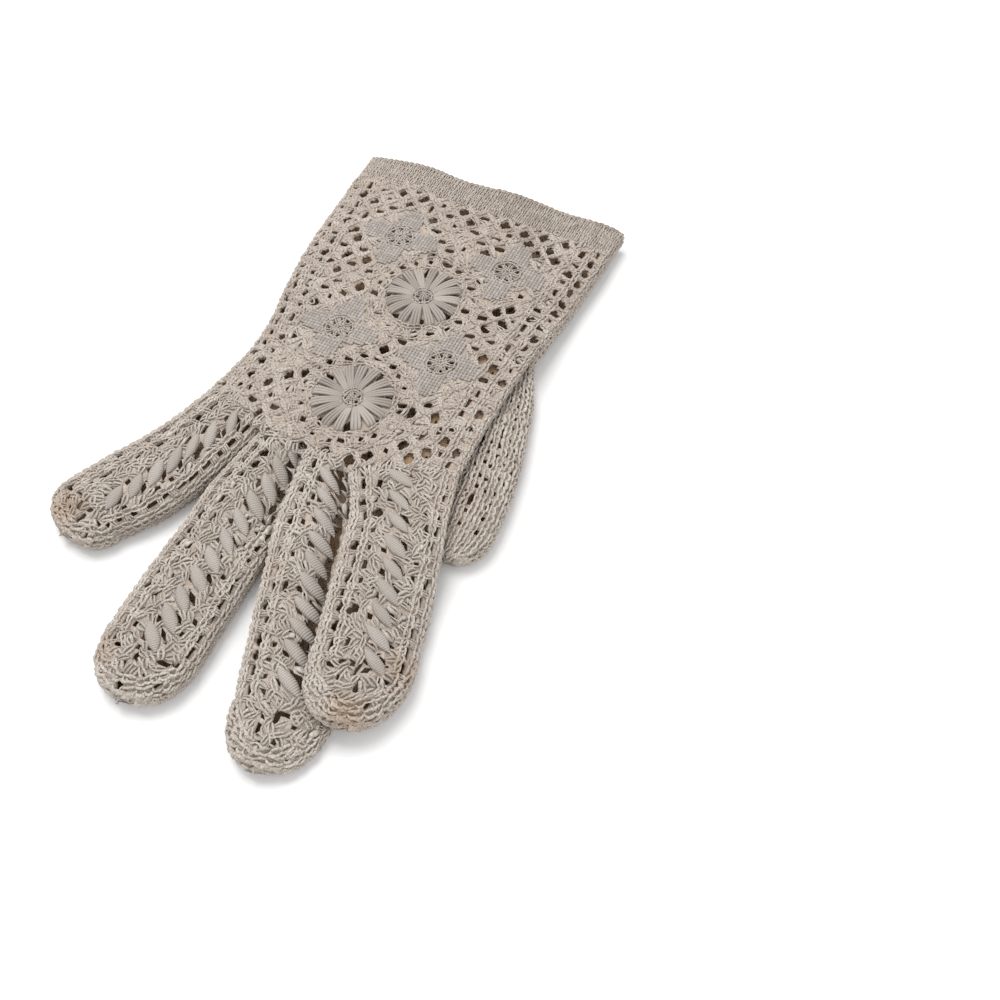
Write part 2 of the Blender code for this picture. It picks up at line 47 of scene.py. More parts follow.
ORIGIN_Y = 4.4        # y of the tables' zero from the origin
SINK = 0.45           # how far the threads lie under the surface of the tables
SEED = 7

# Surface of the glove, as in the part's source
PRESS = 0.2
TOP_POWER = 2.6
HAND_POWER = 3.4
UNDER_POWER = 5.0
TIP_POWER = 0.85      # roundness of a digit's tip in plan

# Hand: columns y, left, right and top
HAND = np.array([
    (101.0, -47.0, 49.0, 9.6), (87.5, -46.4, 48.4, 10.5), (73.0, -45.2, 47.4, 11.2),
    (54.0, -44.4, 46.0, 11.4), (42.5, -43.0, 45.0, 11.4), (30.0, -40.8, 44.2, 11.4),
    (18.0, -38.2, 43.6, 11.4), (6.0, -37.0, 43.2, 11.4), (-6.0, -38.2, 43.2, 11.2),
    (-26.0, -41.6, 43.6, 10.8),
])
KNUCKLES = np.array([(-60.0, -4.5), (-39.5, -12.0), (-18.0, -20.0), (0.6, -23.0), (14.4, -22.4),
                     (43.5, -13.0), (60.0, -8.0)])
CUFF_LOW = 87.8
CUFF_HIGH = 98.8
CUFF_WAVE = 0.8
THUMB_MOUTH = 34.5
THUMB_ROOM = 8.7
EDGE_LIFT = 5.4
BACK_LIFT = 2.2

# Digits: columns left x, left y, right x, right y, three heights underneath and three on the back
DIGITS = {
    "little": (np.array([
        (-39.6, -12.5, -18.3, -20.5, 0.0, 0.0, 0.0, 9.8, 10.4, 10.0),
        (-45.3, -31.6, -22.7, -41.6, 0.0, 0.0, 0.0, 9.6, 10.2, 9.6),
        (-53.4, -47.4, -28.6, -57.3, 0.0, 0.0, 0.0, 9.4, 10.0, 9.4),
        (-58.9, -59.5, -35.4, -67.1, 0.0, 0.0, 0.0, 9.2, 9.6, 9.2),
    ]), (-49.6, -73.4, 4.4)),
    "ring": (np.array([
        (-17.9, -20.8, 2.0, -23.6, 0.0, 0.0, 0.0, 10.0, 10.4, 4.8),
        (-21.0, -42.5, 4.6, -43.0, 0.0, 0.0, 0.0, 9.6, 10.4, 5.2),
        (-20.6, -57.0, 5.3, -57.0, 0.0, 0.0, 0.0, 9.6, 10.2, 9.0),
        (-21.0, -75.0, 6.0, -74.5, 0.0, 0.0, 0.0, 9.6, 10.0, 9.6),
        (-20.5, -92.0, 6.6, -91.0, 0.0, 0.0, 0.0, 9.2, 9.6, 9.2),
    ]), (-6.4, -106.9, 4.4)),
    "middle": (np.array([
        (-0.8, -23.9, 16.0, -23.3, 5.2, 0.0, 0.0, 11.0, 11.4, 4.8),
        (3.4, -46.0, 25.2, -40.8, 4.4, 0.0, 0.0, 11.0, 11.2, 4.6),
        (10.2, -67.5, 31.2, -60.3, 0.0, 0.0, 0.0, 10.2, 10.8, 4.6),
        (17.0, -86.0, 41.0, -79.6, 0.0, 0.0, 0.0, 9.8, 10.2, 4.4),
        (20.3, -94.5, 45.2, -90.6, 0.0, 0.0, 0.0, 9.2, 9.6, 5.4),
    ]), (34.3, -108.2, 4.2)),
    "index": (np.array([
        (12.8, -23.4, 43.2, -13.5, 5.4, 0.6, 8.6, 11.2, 11.8, 13.4),
        (19.6, -33.8, 46.4, -26.6, 5.4, 3.6, 8.8, 11.8, 13.0, 13.8),
        (23.2, -43.4, 49.6, -37.0, 5.4, 2.6, 7.2, 12.0, 13.0, 13.2),
        (27.3, -58.0, 53.4, -51.5, 5.8, 1.0, 0.0, 12.4, 12.6, 10.8),
        (33.4, -77.5, 58.3, -71.5, 8.6, 3.0, 0.0, 13.8, 13.6, 10.4),
    ]), (47.4, -91.2, 7.6)),
    "thumb": (np.array([
        (25.6, 33.4, 44.6, 35.2, 0.0, 0.0, 0.0, 7.8, 8.2, 8.4),
        (29.6, 18.2, 50.3, 21.4, 0.0, 0.0, 0.0, 6.0, 8.6, 9.4),
        (33.6, -2.0, 55.6, 1.6, 0.0, 0.0, 0.0, 5.4, 8.8, 10.0),
        (35.8, -16.0, 58.4, -14.0, 0.0, 0.0, 0.0, 4.8, 8.6, 10.0),
        (36.6, -25.4, 59.1, -24.6, 0.0, 0.0, 0.0, 4.6, 8.2, 9.6),
    ]), (48.4, -36.6, 3.4)),
}

# Leaves: x and y of their middles, and how far they slant off the finger, in degrees
LEAVES = {
    "little": (((-25.2, -24.2), (-28.1, -30.5), (-30.6, -35.9), (-32.8, -41.8), (-35.0, -47.9),
                (-37.4, -54.0), (-40.6, -59.6)), 31.0),
    "ring": (((-4.6, -25.0), (-4.0, -32.0), (-3.9, -38.4), (-4.3, -45.0), (-4.5, -51.4), (-4.4, -58.2),
              (-4.9, -64.8), (-4.6, -71.4), (-5.6, -77.8), (-5.4, -84.2), (-6.3, -90.2)), 44.0),
    "middle": (((10.6, -29.4), (13.2, -35.6), (16.2, -42.0), (18.6, -48.2), (20.8, -54.2), (23.2, -60.4),
                (25.6, -66.6), (27.6, -72.6), (29.4, -78.6), (31.6, -86.4)), 50.0),
    "index": (((28.8, -21.6), (32.4, -28.6), (35.4, -35.2), (38.2, -42.0), (40.8, -48.4), (43.0, -54.6),
               (44.8, -61.0), (47.0, -67.2), (49.6, -73.6)), 47.0),
}

# Motifs on the back of the hand
ROSETTES = {"rosette_upper": (3.0, 42.6), "rosette_lower": (2.6, -2.0)}
ROSETTE_RADIUS = 12.6
ROSETTE_GROUPS = 8
FLOWERS = {
    "flower_upper_left": (-16.4, 63.4), "flower_upper_right": (22.4, 63.4),
    "flower_lower_left": (-14.8, 20.3), "flower_lower_right": (20.6, 20.3),
}

# Stains: x, y, radius and strength
STAINS = np.array([
    (-52.0, -68.0, 11.0, 0.8), (-17.5, -98.0, 7.0, 0.6), (49.0, -88.0, 9.0, 0.9), (56.0, -72.0, 8.0, 0.8),
    (46.0, -20.0, 14.0, 0.25), (-40.0, 82.0, 16.0, 0.2), (10.0, -60.0, 10.0, 0.25),
])
INSIDE_PAINTED_SHADE = 1.5     # the inside of the glove is painted browner than its outside, as painted shade in its hollow

# Open net in the crease beside a finger's neighbour: half its width, then places along and around
CREASES = {
    "ring": (0.85, ((2.0, 4.8), (14.0, 6.8), (34.0, 11.5))),
    "middle": (1.1, ((2.0, 4.1), (8.0, 5.7), (14.0, 6.5), (38.0, 6.2), (50.0, 5.3), (62.0, 3.6),
                     (70.0, 3.4))),
}

# Columns of slits down a finger: side, how far in from the side seam, and half their width.
# The left side slopes away from above, so its slits are wider.
SLIT_COLUMNS = ((-1.0, 6.2, 1.05), (1.0, 3.9, 0.68))
# Chains down a finger: side, how far in from the side seam, and width
EDGE_CHAINS = ((-1.0, 0.2, 1.2), (-1.0, 2.1, 1.0), (-1.0, 4.0, 1.0), (-1.0, 8.2, 1.05),
               (1.0, 0.2, 1.2), (1.0, 2.0, 1.0), (1.0, 5.7, 1.05))
TIP_CHAINS = (0.985, 0.85, 0.71)          # as shares of the tip's outline
TIP_HOLES = (0.78, 0.52, 0.24)
UNDER_ROWS = (0.1, 0.3, 0.5, 0.7, 0.9)    # from the side seam to the middle underneath
LEAF_ROOM = (4.3, 1.9)                    # half length and width that loose loops leave to a leaf
# Holes that the motifs lie over: motifs, radius, count, half length and half width
EYES = ((FLOWERS, 3.3, 8, 0.95, 0.8), (ROSETTES, 10.9, ROSETTE_GROUPS, 1.9, 0.95),
        (ROSETTES, 2.0, 6, 0.6, 0.6))

# Camera, from the photograph's outline
CAMERA_PLACE = (0.12326, -0.15405, 0.25264)
CAMERA_TILT = math.radians(33.0)
CAMERA_TURN = math.radians(25.0)
CAMERA_LENS = 37.8

CORD_LENGTH = 5.2     # length of the cord stitch
CHAIN_LENGTH = 2.2    # pitch that the chain stitch is modelled for
HOLE_EASE = 3.0       # higher is a tighter bow of the threads round a hole
GROOVE_SHADE = 0.8    # painted shade between the plies of a thread, as a share of their own colour
LATTICE = 5.3         # distance between the lines of the coarse net
NET_PITCH = 1.08      # distance between the threads of the fine woven net
RIDGE_SHARE = 0.074   # distance between the palm's ridges, as a share of half its width
RIDGE_STEP = 2.95     # distance between the thumb's ridges
GROUND_THICK = 0.9
FLOOR_GAP = 0.05      # least height of a thread above the floor
PATCHES = 65.0        # soft patches of tone per metre, each some 15 mm wide
LINT = 1900.0         # specks of lint per metre, each about half a millimetre

chance = np.random.default_rng(SEED)


def ramp(value):
    value = np.clip(value, 0.0, 1.0)
    return value * value * (3.0 - 2.0 * value)


def dome(value, power):
    return np.maximum(0.0, 1.0 - np.minimum(np.abs(value), 1.0) ** power) ** (1.0 / power)


def between(rows, place):
    """Rows of a table at places between its rows, on a smooth curve through them."""
    last = len(rows) - 1
    place = np.clip(place, 0.0, last)
    start = np.minimum(place.astype(int), last - 1)
    t = (place - start)[:, None]
    before = rows[np.maximum(start - 1, 0)]
    here = rows[start]
    there = rows[start + 1]
    after = rows[np.minimum(start + 2, last)]
    slope_here = (there - before) / 2.0
    slope_there = (after - here) / 2.0
    return (here * (2 * t ** 3 - 3 * t ** 2 + 1) + slope_here * (t ** 3 - 2 * t ** 2 + t)
            + there * (3 * t ** 2 - 2 * t ** 3) + slope_there * (t ** 3 - t ** 2))


def girth(half, rise, power):
    """Length of a rounded section from its middle to its edge, and the share of that length at each v."""
    v = 1.0 - (1.0 - np.linspace(0.0, 1.0, 400)) ** 2
    steps = np.hypot(np.diff(v) * half, np.diff(dome(v, power)) * rise)
    run = np.concatenate([[0.0], np.cumsum(steps)])
    return run[-1], run / run[-1], v


class Cloth:
    """A hollow of cloth, with its girths from the middle of the back to the side seam, and from there on."""

    def measure(self, half, rise, power):
        self.half = half
        self.top, self.top_run, self.top_v = girth(half, rise, power)
        self.under, self.under_run, self.under_v = girth(half, rise, UNDER_POWER)
        self.ratio = self.under / self.top

    def across(self, around, half):
        """Where lengths round the hollow lie across it, from -1 to 1, and which are on the back."""
        reach = half * self.top / self.half
        beyond = half * self.under / self.half
        size = np.abs(around)
        over = size <= reach
        v_over = np.interp(size / reach, self.top_run, self.top_v)
        left = np.clip((reach + beyond - size) / beyond, 0.0, 1.0)
        v_below = np.interp(left, self.under_run, self.under_v)
        return np.where(over, v_over, v_below) * np.sign(around + 1e-9), over


class Hand(Cloth):
    """Back and palm of the hand. A flat spot is y, and the length round from the middle of the back."""

    def __init__(self):
        self.measure(44.0, 5.7, HAND_POWER)

    def section(self, y):
        place = np.interp(-y, -HAND[:, 0], np.arange(len(HAND)))
        row = between(HAND, place)
        return (row[:, 1] + row[:, 2]) / 2.0, (row[:, 2] - row[:, 1]) / 2.0, row[:, 3]

    def reach(self, y):
        """Length from the middle of the back to the side seam at y."""
        _, half, _ = self.section(np.atleast_1d(np.asarray(y, float)))
        return half * self.top / self.half

    def flat(self, x, y):
        """The flat spot over a place in plan."""
        centre, half, _ = self.section(np.atleast_1d(np.asarray(y, float)))
        v = np.clip((x - centre) / half, -1.0, 1.0)
        share = np.interp(np.abs(v), self.top_v, self.top_run)
        return np.stack([y + 0.0 * centre, np.sign(v) * share * half * self.top / self.half], 1)

    def spot(self, y, around, height, home):
        centre, half, top = self.section(y)
        v, over = self.across(around, half)
        over_thumb = ramp((62.0 - y) / 34.0)
        seam = top / 2.0 + EDGE_LIFT * over_thumb * ramp((v + 0.2) / 1.2)
        high = top + BACK_LIFT * over_thumb * ramp((v - 0.2) / 0.7)
        room = np.where(home[:, 0] < THUMB_MOUTH, 1.0, 0.0)
        low = (THUMB_ROOM + PRESS) * room * ramp((v - 0.25) / 0.42) - PRESS
        z_over = seam + (high + height - seam) * dome(v, HAND_POWER)
        z_below = seam - (seam - low + height) * dome(v, UNDER_POWER)
        return np.stack([centre + v * (half + height), y, np.where(over, z_over, z_below)], 1)


class Digit(Cloth):
    """A finger or the thumb. A flat spot is the length from its root, and the length round from its back."""

    def __init__(self, rows, tip):
        self.rows = rows
        self.tip = np.array(tip)
        self.places = np.linspace(0.0, len(rows) - 1.0, 161)
        table = between(rows, self.places)
        middle = (table[:, 0:2] + table[:, 2:4]) / 2.0
        self.run = np.concatenate([[0.0], np.cumsum(np.hypot(*np.diff(middle, axis=0).T))])
        self.length = self.run[-1]
        self.end = float(np.hypot(*(self.tip[0:2] - middle[-1])))
        half = float(np.mean(np.hypot(*(table[:, 2:4] - table[:, 0:2]).T)) / 2.0)
        self.measure(half, float(np.mean(table[:, 8] - table[:, 5])) / 2.0, TOP_POWER)
        self.axis = (middle[8] - middle[0]) / np.hypot(*(middle[8] - middle[0]))

    def reach(self, along):
        """Length from the middle of the back to the side seam."""
        row = between(self.rows, np.interp(np.atleast_1d(along), self.run, self.places))
        return np.hypot(row[:, 2] - row[:, 0], row[:, 3] - row[:, 1]) / 2.0 * self.top / self.half

    def flat(self, x, y):
        """The flat spot nearest to a place in plan."""
        along, share = np.meshgrid(np.linspace(0.0, self.length, 160), np.linspace(-0.8, 0.8, 81))
        along = along.ravel()
        around = share.ravel() * self.reach(along)
        plan = self.spot(along, around, 0.0 * along, None)
        nearest = np.hypot(plan[:, 0] - x, plan[:, 1] - y).argmin()
        return along[nearest], around[nearest]

    def spot(self, along, around, height, home):
        row = between(self.rows, np.interp(along, self.run, self.places))
        centre = (row[:, 0:2] + row[:, 2:4]) / 2.0
        across = (row[:, 2:4] - row[:, 0:2]) / 2.0
        half = np.hypot(across[:, 0], across[:, 1])
        sine = np.clip((along - self.length) / self.end, 0.0, 1.0)
        shrink = np.maximum(np.cos(np.arcsin(sine)), 0.02) ** TIP_POWER
        v, over = self.across(around / shrink, half)
        share = ramp(np.abs(v))
        left = v < 0
        low = row[:, 5] + (np.where(left, row[:, 4], row[:, 6]) - row[:, 5]) * share - PRESS
        high = row[:, 8] + (np.where(left, row[:, 7], row[:, 9]) - row[:, 8]) * share
        seam = (low + high) / 2.0
        rise = ((high - low) / 2.0 + height) * dome(v, np.where(over, TOP_POWER, UNDER_POWER))
        z = seam + np.where(over, rise, -rise)
        wide = across * ((half + height) / half)[:, None]
        to_tip = self.tip[0:2] - centre
        past = np.maximum((along - self.length) / self.end - 1.0, 0.0) * self.end
        ahead = to_tip * (sine * (self.end + height) / self.end + past / self.end)[:, None]
        behind = self.axis * np.minimum(along, 0.0)[:, None]
        xy = centre + wide * (v * shrink)[:, None] + np.where(sine[:, None] > 0, ahead, 0.0) + behind
        z = self.tip[2] + (z - self.tip[2]) * np.where(sine > 0, shrink, 1.0)
        return np.stack([xy[:, 0], xy[:, 1], z], 1)


HAND_CLOTH = Hand()
DIGIT_CLOTHS = {name: Digit(rows, tip) for name, (rows, tip) in DIGITS.items()}


# Threads and stitches, each modelled once

def smooth_path(points, steps):
    """A smooth path through a few points."""
    points = np.array(points, float)
    return between(points, np.linspace(0.0, len(points) - 1.0, steps + 1))


def thread(path, thickness, sides=5, flatten=1.0):
    """A length of thread, modelled by extruding a round end along its path. Both ends are closed."""
    path = np.array(path, float)
    thickness = np.broadcast_to(thickness, len(path))
    steps = np.diff(path, axis=0)
    turns = np.arctan2(steps[:, 1], steps[:, 0])
    bpy.ops.object.select_all(action="DESELECT")
    bpy.ops.mesh.primitive_circle_add(vertices=sides, radius=thickness[0] / 2.0, fill_type="NGON",
                                      location=path[0], rotation=(0.0, math.pi / 2.0, turns[0]))
    bpy.ops.object.mode_set(mode="EDIT")
    facing = turns[0]
    for i in range(1, len(path)):
        bpy.ops.mesh.extrude_region_move(TRANSFORM_OT_translate={"value": tuple(steps[i - 1])})
        ahead = turns[min(i, len(turns) - 1)]
        here = turns[i - 1] + math.remainder(ahead - turns[i - 1], math.tau) / 2.0
        swing = math.remainder(here - facing, math.tau)
        if abs(swing) > 1e-4:
            bpy.ops.transform.rotate(value=-swing, orient_axis="Z", center_override=tuple(path[i]))
        facing = facing + swing
        size = thickness[i] / thickness[i - 1]
        if abs(size - 1.0) > 1e-4:
            bpy.ops.transform.resize(value=(size, size, size), center_override=tuple(path[i]))
    bpy.ops.mesh.select_all(action="SELECT")
    if flatten != 1.0:
        bpy.ops.transform.resize(value=(1.0, 1.0, flatten), center_override=(0.0, 0.0, 0.0))
    bpy.ops.mesh.normals_make_consistent(inside=False)
    bpy.ops.mesh.quads_convert_to_tris(quad_method="BEAUTY", ngon_method="BEAUTY")
    bpy.ops.object.mode_set(mode="OBJECT")
    strand = bpy.context.object
    bpy.ops.object.transform_apply(location=True, rotation=True, scale=True)
    return strand


def stitch(strands, twist=1.1, winding=True):
    """Joins threads into one stitch, and notes how far along its thread every point lies.

    Returns the points, the triangles and the run of each point in turns of the thread's twist.
    """
    points = []
    faces = []
    runs = []
    for strand, path in strands:
        mesh = strand.data
        own = np.empty(len(mesh.vertices) * 3)
        mesh.vertices.foreach_get("co", own)
        own = own.reshape(-1, 3)
        ties = np.empty(len(mesh.polygons) * 3, int)
        mesh.polygons.foreach_get("vertices", ties)
        faces.append(ties.reshape(-1, 3) + sum(len(p) for p in points))
        points.append(own)
        path = np.array(path, float)
        far = np.linalg.norm(own[:, None, :] - path[None, :, :], axis=2)
        nearest = far.argmin(axis=1)
        run = np.concatenate([[0.0], np.cumsum(np.linalg.norm(np.diff(path, axis=0), axis=1))])
        off = own - path[nearest]
        runs.append(run[nearest] / twist + (np.arctan2(off[:, 2], off[:, 1]) / math.tau if winding else 0.25))
        bpy.data.objects.remove(strand, do_unlink=True)
    return np.concatenate(points), np.concatenate(faces), np.concatenate(runs)


def make_stitch(paths, thickness, sides, steps):
    made = []
    for points in paths:
        path = smooth_path(points, steps)
        made.append((thread(path, thickness, sides), path))
    return stitch(made)


def mirrored(points):
    return [points, [(x, -y, z) for x, y, z in points]]


def chain_stitch(thickness, sides, steps):
    """Two legs of cotton that open into a V and dive under the next stitch."""
    leg = [(-0.75, 0.22, -0.75), (0.1, 0.62, 0.0), (1.1, 0.78, 0.28), (1.9, 0.62, 0.1), (2.45, 0.12, -0.7)]
    return make_stitch(mirrored(leg), thickness, sides, steps)


def loop_stitch():
    """A long loose loop, whose two threads lie side by side."""
    half = [(-2.1, 0.12, -0.75), (-1.2, 0.52, 0.0), (0.1, 0.62, 0.22), (1.3, 0.46, 0.02), (2.1, 0.06, -0.7)]
    return make_stitch(mirrored(half), 0.66, 4, 5)


def curl_stitch():
    """A loose curl of thread, three quarters of a ring."""
    turns = np.linspace(0.2, 1.75 * math.pi, 9)
    ring = [(math.cos(a), 0.8 * math.sin(a), 0.25 * math.sin(2 * a) - 0.1) for a in turns]
    return make_stitch([ring], 0.46, 4, 9)


def cord_stitch():
    """Two plies wound round each other, the thick cord of the coarse net."""
    made = []
    for ply in (0.0, math.pi):
        x = np.linspace(-CORD_LENGTH / 2, CORD_LENGTH / 2, 7)
        turn = x * 0.85 + ply
        dip = 0.5 * np.abs(x / x[-1]) ** 3
        path = np.stack([x, 0.42 * np.cos(turn), 0.22 * np.sin(turn) + 0.05 - dip], 1)
        made.append((thread(path, 1.0, 4), path))
    return stitch(made)


def leaf_stitch(length=9.5, width=3.9, ribs=16, sides=12):
    """A padded leaf, woven across groups of threads, with a rib at every turn and low grooves along it."""
    places = np.linspace(-1.0, 1.0, 2 * ribs + 1)
    path = np.stack([places * length / 2, 0.25 * np.sin(places * 2.0), 0 * places], 1)
    shape = np.maximum(1.0 - np.abs(places) ** 2.2, 0.0) ** 0.95
    strand = thread(path, np.maximum(shape * width, 0.4), sides, 0.58)
    points, faces, turn = stitch([(strand, path)], length / ribs, False)
    ring = np.rint((points[:, 0] / length + 0.5) * 2 * ribs).astype(int)
    off = points - path[ring]
    column = np.rint((np.arctan2(off[:, 2], off[:, 1]) / math.tau) * sides).astype(int)
    points = path[ring] + off * (1.0 - 0.11 * (ring % 2) - 0.09 * (column % 2))[:, None]
    # the half turn puts the painted groove shade of the material on every other rib
    return points, faces, turn + 0.5


def petal_stitch():
    """A group of three padded threads that swell in the middle and draw together at both ends."""
    made = []
    for y in (-1.0, 0.0, 1.0):
        path = smooth_path([(-4.7, y * 0.34, -0.5), (-3.2, y * 0.56, 0.25), (0.0, y * 0.82, 0.7),
                            (3.2, y * 0.95, 0.55), (4.7 - 0.35 * y * y, y * 0.8, -0.4)], 8)
        made.append((thread(path, 1.0, 6), path))
    return stitch(made, 40.0)


def net_stitch():
    """One cell of the fine woven net: a thread each way, one over the other."""
    made = []
    for points in ([(-NET_PITCH / 2, 0, 0.14), (0, 0, -0.1), (NET_PITCH / 2, 0, 0.14)],
                   [(0, -NET_PITCH / 2, -0.1), (0, 0, 0.18), (0, NET_PITCH / 2, -0.1)]):
        made.append((thread(np.array(points, float), 0.98, 5, 0.34), points))
    return stitch(made, 40.0)


STITCHES = {
    "chain": chain_stitch(0.68, 5, 5), "plain": chain_stitch(0.74, 4, 4), "loop": loop_stitch(),
    "curl": curl_stitch(), "cord": cord_stitch(), "leaf": leaf_stitch(), "petal": petal_stitch(),
    "net": net_stitch(),
}
# Tone of the stitches from 0, dark, to 1, light, and how much it varies from one to the next
TONES = {
    "chain": (0.7, 1.0), "plain": (0.3, 1.0), "loop": (0.65, 1.0), "curl": (0.5, 1.0), "cord": (0.3, 1.0),
    "leaf": (0.45, 0.5), "petal": (0.05, 0.3), "net": (0.15, 0.2),
}


# Rows of stitches on the flat cloth. Every row is a table of stitches with columns
# place along, place around, direction, length, width, height scale and lift.

def row_of(path, pitch, wide=1.0, high=1.0, lift=0.0, loose=1.0):
    """A row of stitches along a flat path, spaced evenly with a little play."""
    path = np.array(path, float)
    run = np.concatenate([[0.0], np.cumsum(np.hypot(*np.diff(path, axis=0).T))])
    count = max(int(round(run[-1] / pitch)), 1)
    step = run[-1] / count
    at = (np.arange(count) + chance.uniform(-0.08, 0.08, count) * loose) * step
    spots, ahead = (np.stack([np.interp(place, run, line) for line in path.T], 1)
                    for place in (at, at + step))
    heading = np.arctan2(ahead[:, 1] - spots[:, 1], ahead[:, 0] - spots[:, 0])
    heading = heading + np.radians(chance.uniform(-7, 7, count)) * loose
    across = chance.uniform(-0.14, 0.14, count) * loose
    spots = spots + np.stack([-np.sin(heading) * across, np.cos(heading) * across], 1)
    long = step / CHAIN_LENGTH * chance.uniform(0.95, 1.1, count)
    side = wide * chance.uniform(0.9, 1.1, count)
    up = high * chance.uniform(0.9, 1.1, count)
    lifts = lift + chance.uniform(-0.1, 0.1, count) * loose
    return np.column_stack([spots, heading, long, side, up, lifts])


def lone(spots, headings, long=1.0, wide=1.0, high=1.0, lift=0.0):
    """Stitches that stand by themselves."""
    spots = np.atleast_2d(np.array(spots, float))
    columns = [np.broadcast_to(value, len(spots)) for value in (headings, long, wide, high, lift)]
    return np.column_stack([spots, *columns])


# Holes are a table of flat spots with half length, half width and direction

def slits(spots, long, wide, heading=0.0, play=0.5):
    """Holes at flat spots, with a little play in their places and sizes."""
    count = len(spots)
    return np.column_stack([
        spots[:, 0] + chance.uniform(-play, play, count),
        spots[:, 1] + chance.uniform(-play, play, count) * 0.6,
        long * chance.uniform(0.65, 1.25, count), wide * chance.uniform(0.75, 1.3, count),
        heading + np.radians(chance.uniform(-22, 22, count))])


def hole_share(off, hole):
    """How far out spots lie from a hole's middle, as a share of its size that way."""
    cosine = math.cos(hole[4])
    sine = math.sin(hole[4])
    return np.hypot((off[:, 0] * cosine + off[:, 1] * sine) / hole[2],
                    (off[:, 1] * cosine - off[:, 0] * sine) / hole[3])


def part_threads(flat, holes):
    """Moves flat spots out of the holes, so that the threads bow round them."""
    flat = flat.copy()
    for hole in holes:
        off = flat - hole[0:2]
        near = np.nonzero((np.abs(off) < 3.0 * hole[2]).all(axis=1))[0]
        off = off[near]
        far = hole_share(off, hole) + 1e-6
        flat[near] = hole[0:2] + off * ((far ** HOLE_EASE + 1.0) ** (1.0 / HOLE_EASE) / far)[:, None]
    return flat


def in_holes(flat, holes, share):
    """True for flat spots inside a share of a hole's size."""
    inside = np.zeros(len(flat), bool)
    for hole in holes:
        inside |= hole_share(flat - hole[0:2], hole) < share
    return inside


def ground(cloth, grid, holes, closed, height=-0.5, gap_shade=0.0, least=8):
    """Dense cloth under the raised stitches, as a closed sheet with the holes cut through.

    grid is an array of rows of flat spots, closed says that each row meets its own start. Each hole
    moves to the nearest cell of the grid. gap_shade, from 0 to 1, is how much painted shade, brown and
    dark, the outside of the sheet takes, so that the gaps between the stitches look shaded; its inside
    always takes the strong painted shade of the hollow. Cells with fewer than least others near them go
    too. Returns what sew returns, and the holes where they are cut.
    """
    rows, columns, _ = grid.shape
    flat = grid.reshape(-1, 2)
    wide = columns if closed else columns - 1
    i, j = np.meshgrid(np.arange(rows - 1), np.arange(wide), indexing="ij")
    a = (i * columns + j).ravel()
    b = (i * columns + (j + 1) % columns).ravel()
    cells = np.stack([a, b, b + columns, a + columns], 1)
    middles = flat[cells].mean(axis=1)
    if closed:
        seam = (j == columns - 1).ravel()
        middles[seam] = flat[cells[seam][:, [0, 3]]].mean(axis=1) + (0.0, 0.5)
    holes = holes.copy()
    for hole in holes:
        hole[0:2] = middles[np.hypot(*(middles - hole[0:2]).T).argmin()]
    kept = ~in_holes(middles, holes, 0.95).reshape(i.shape)
    around = np.pad(kept.astype(int), ((2, 2), (0, 0)))
    around = np.pad(around, ((0, 0), (2, 2)), "wrap" if closed else "constant")
    near = sum(around[r:r + rows - 1, c:c + wide] for r in range(5) for c in range(5))
    cells = cells[(kept & (near >= least)).ravel()]
    spread = part_threads(flat, holes) + chance.uniform(-0.22, 0.22, flat.shape)
    bumps = chance.uniform(-0.25, 0.25, len(flat))
    points = np.concatenate([cloth.spot(spread[:, 0], spread[:, 1], height - SINK + bumps, flat),
                             cloth.spot(spread[:, 0], spread[:, 1], height - SINK - GROUND_THICK, flat)])
    points[:, 2] = np.maximum(points[:, 2], FLOOR_GAP)
    count = len(flat)
    tops = np.concatenate([cells[:, [0, 1, 2]], cells[:, [0, 2, 3]]])
    edges = np.concatenate([cells[:, [0, 1]], cells[:, [1, 2]], cells[:, [2, 3]], cells[:, [3, 0]]])
    key = edges[:, 0].astype(np.int64) * count + edges[:, 1]
    back = edges[:, 1].astype(np.int64) * count + edges[:, 0]
    rim = edges[~np.isin(back, key)]
    walls = np.concatenate([np.stack([rim[:, 1], rim[:, 0], rim[:, 0] + count], 1),
                            np.stack([rim[:, 1], rim[:, 0] + count, rim[:, 1] + count], 1)])
    faces = np.concatenate([tops, tops[:, ::-1] + count, walls])
    used, faces = np.unique(faces, return_inverse=True)
    # Painted shade: the outside of the sheet is browner and darker the more its gaps are to look shaded,
    # darker where its bumps dip and lighter where they rise; the inside is painted darker and brown, as shade
    # in the hollow
    painted_shade = np.repeat((0.25 * gap_shade, INSIDE_PAINTED_SHADE), count)[used]
    tone = np.concatenate([0.4 - 0.6 * gap_shade + 2.0 * bumps, 0.2 + bumps])[used]
    # the turn runs unevenly from point to point, so that the painted groove shade of the material breaks the
    # cloth into short bits of thread
    turn = chance.uniform(-1.6, 1.6, len(used))
    return (points[used], faces.reshape(-1, 3), turn, tone, painted_shade), holes


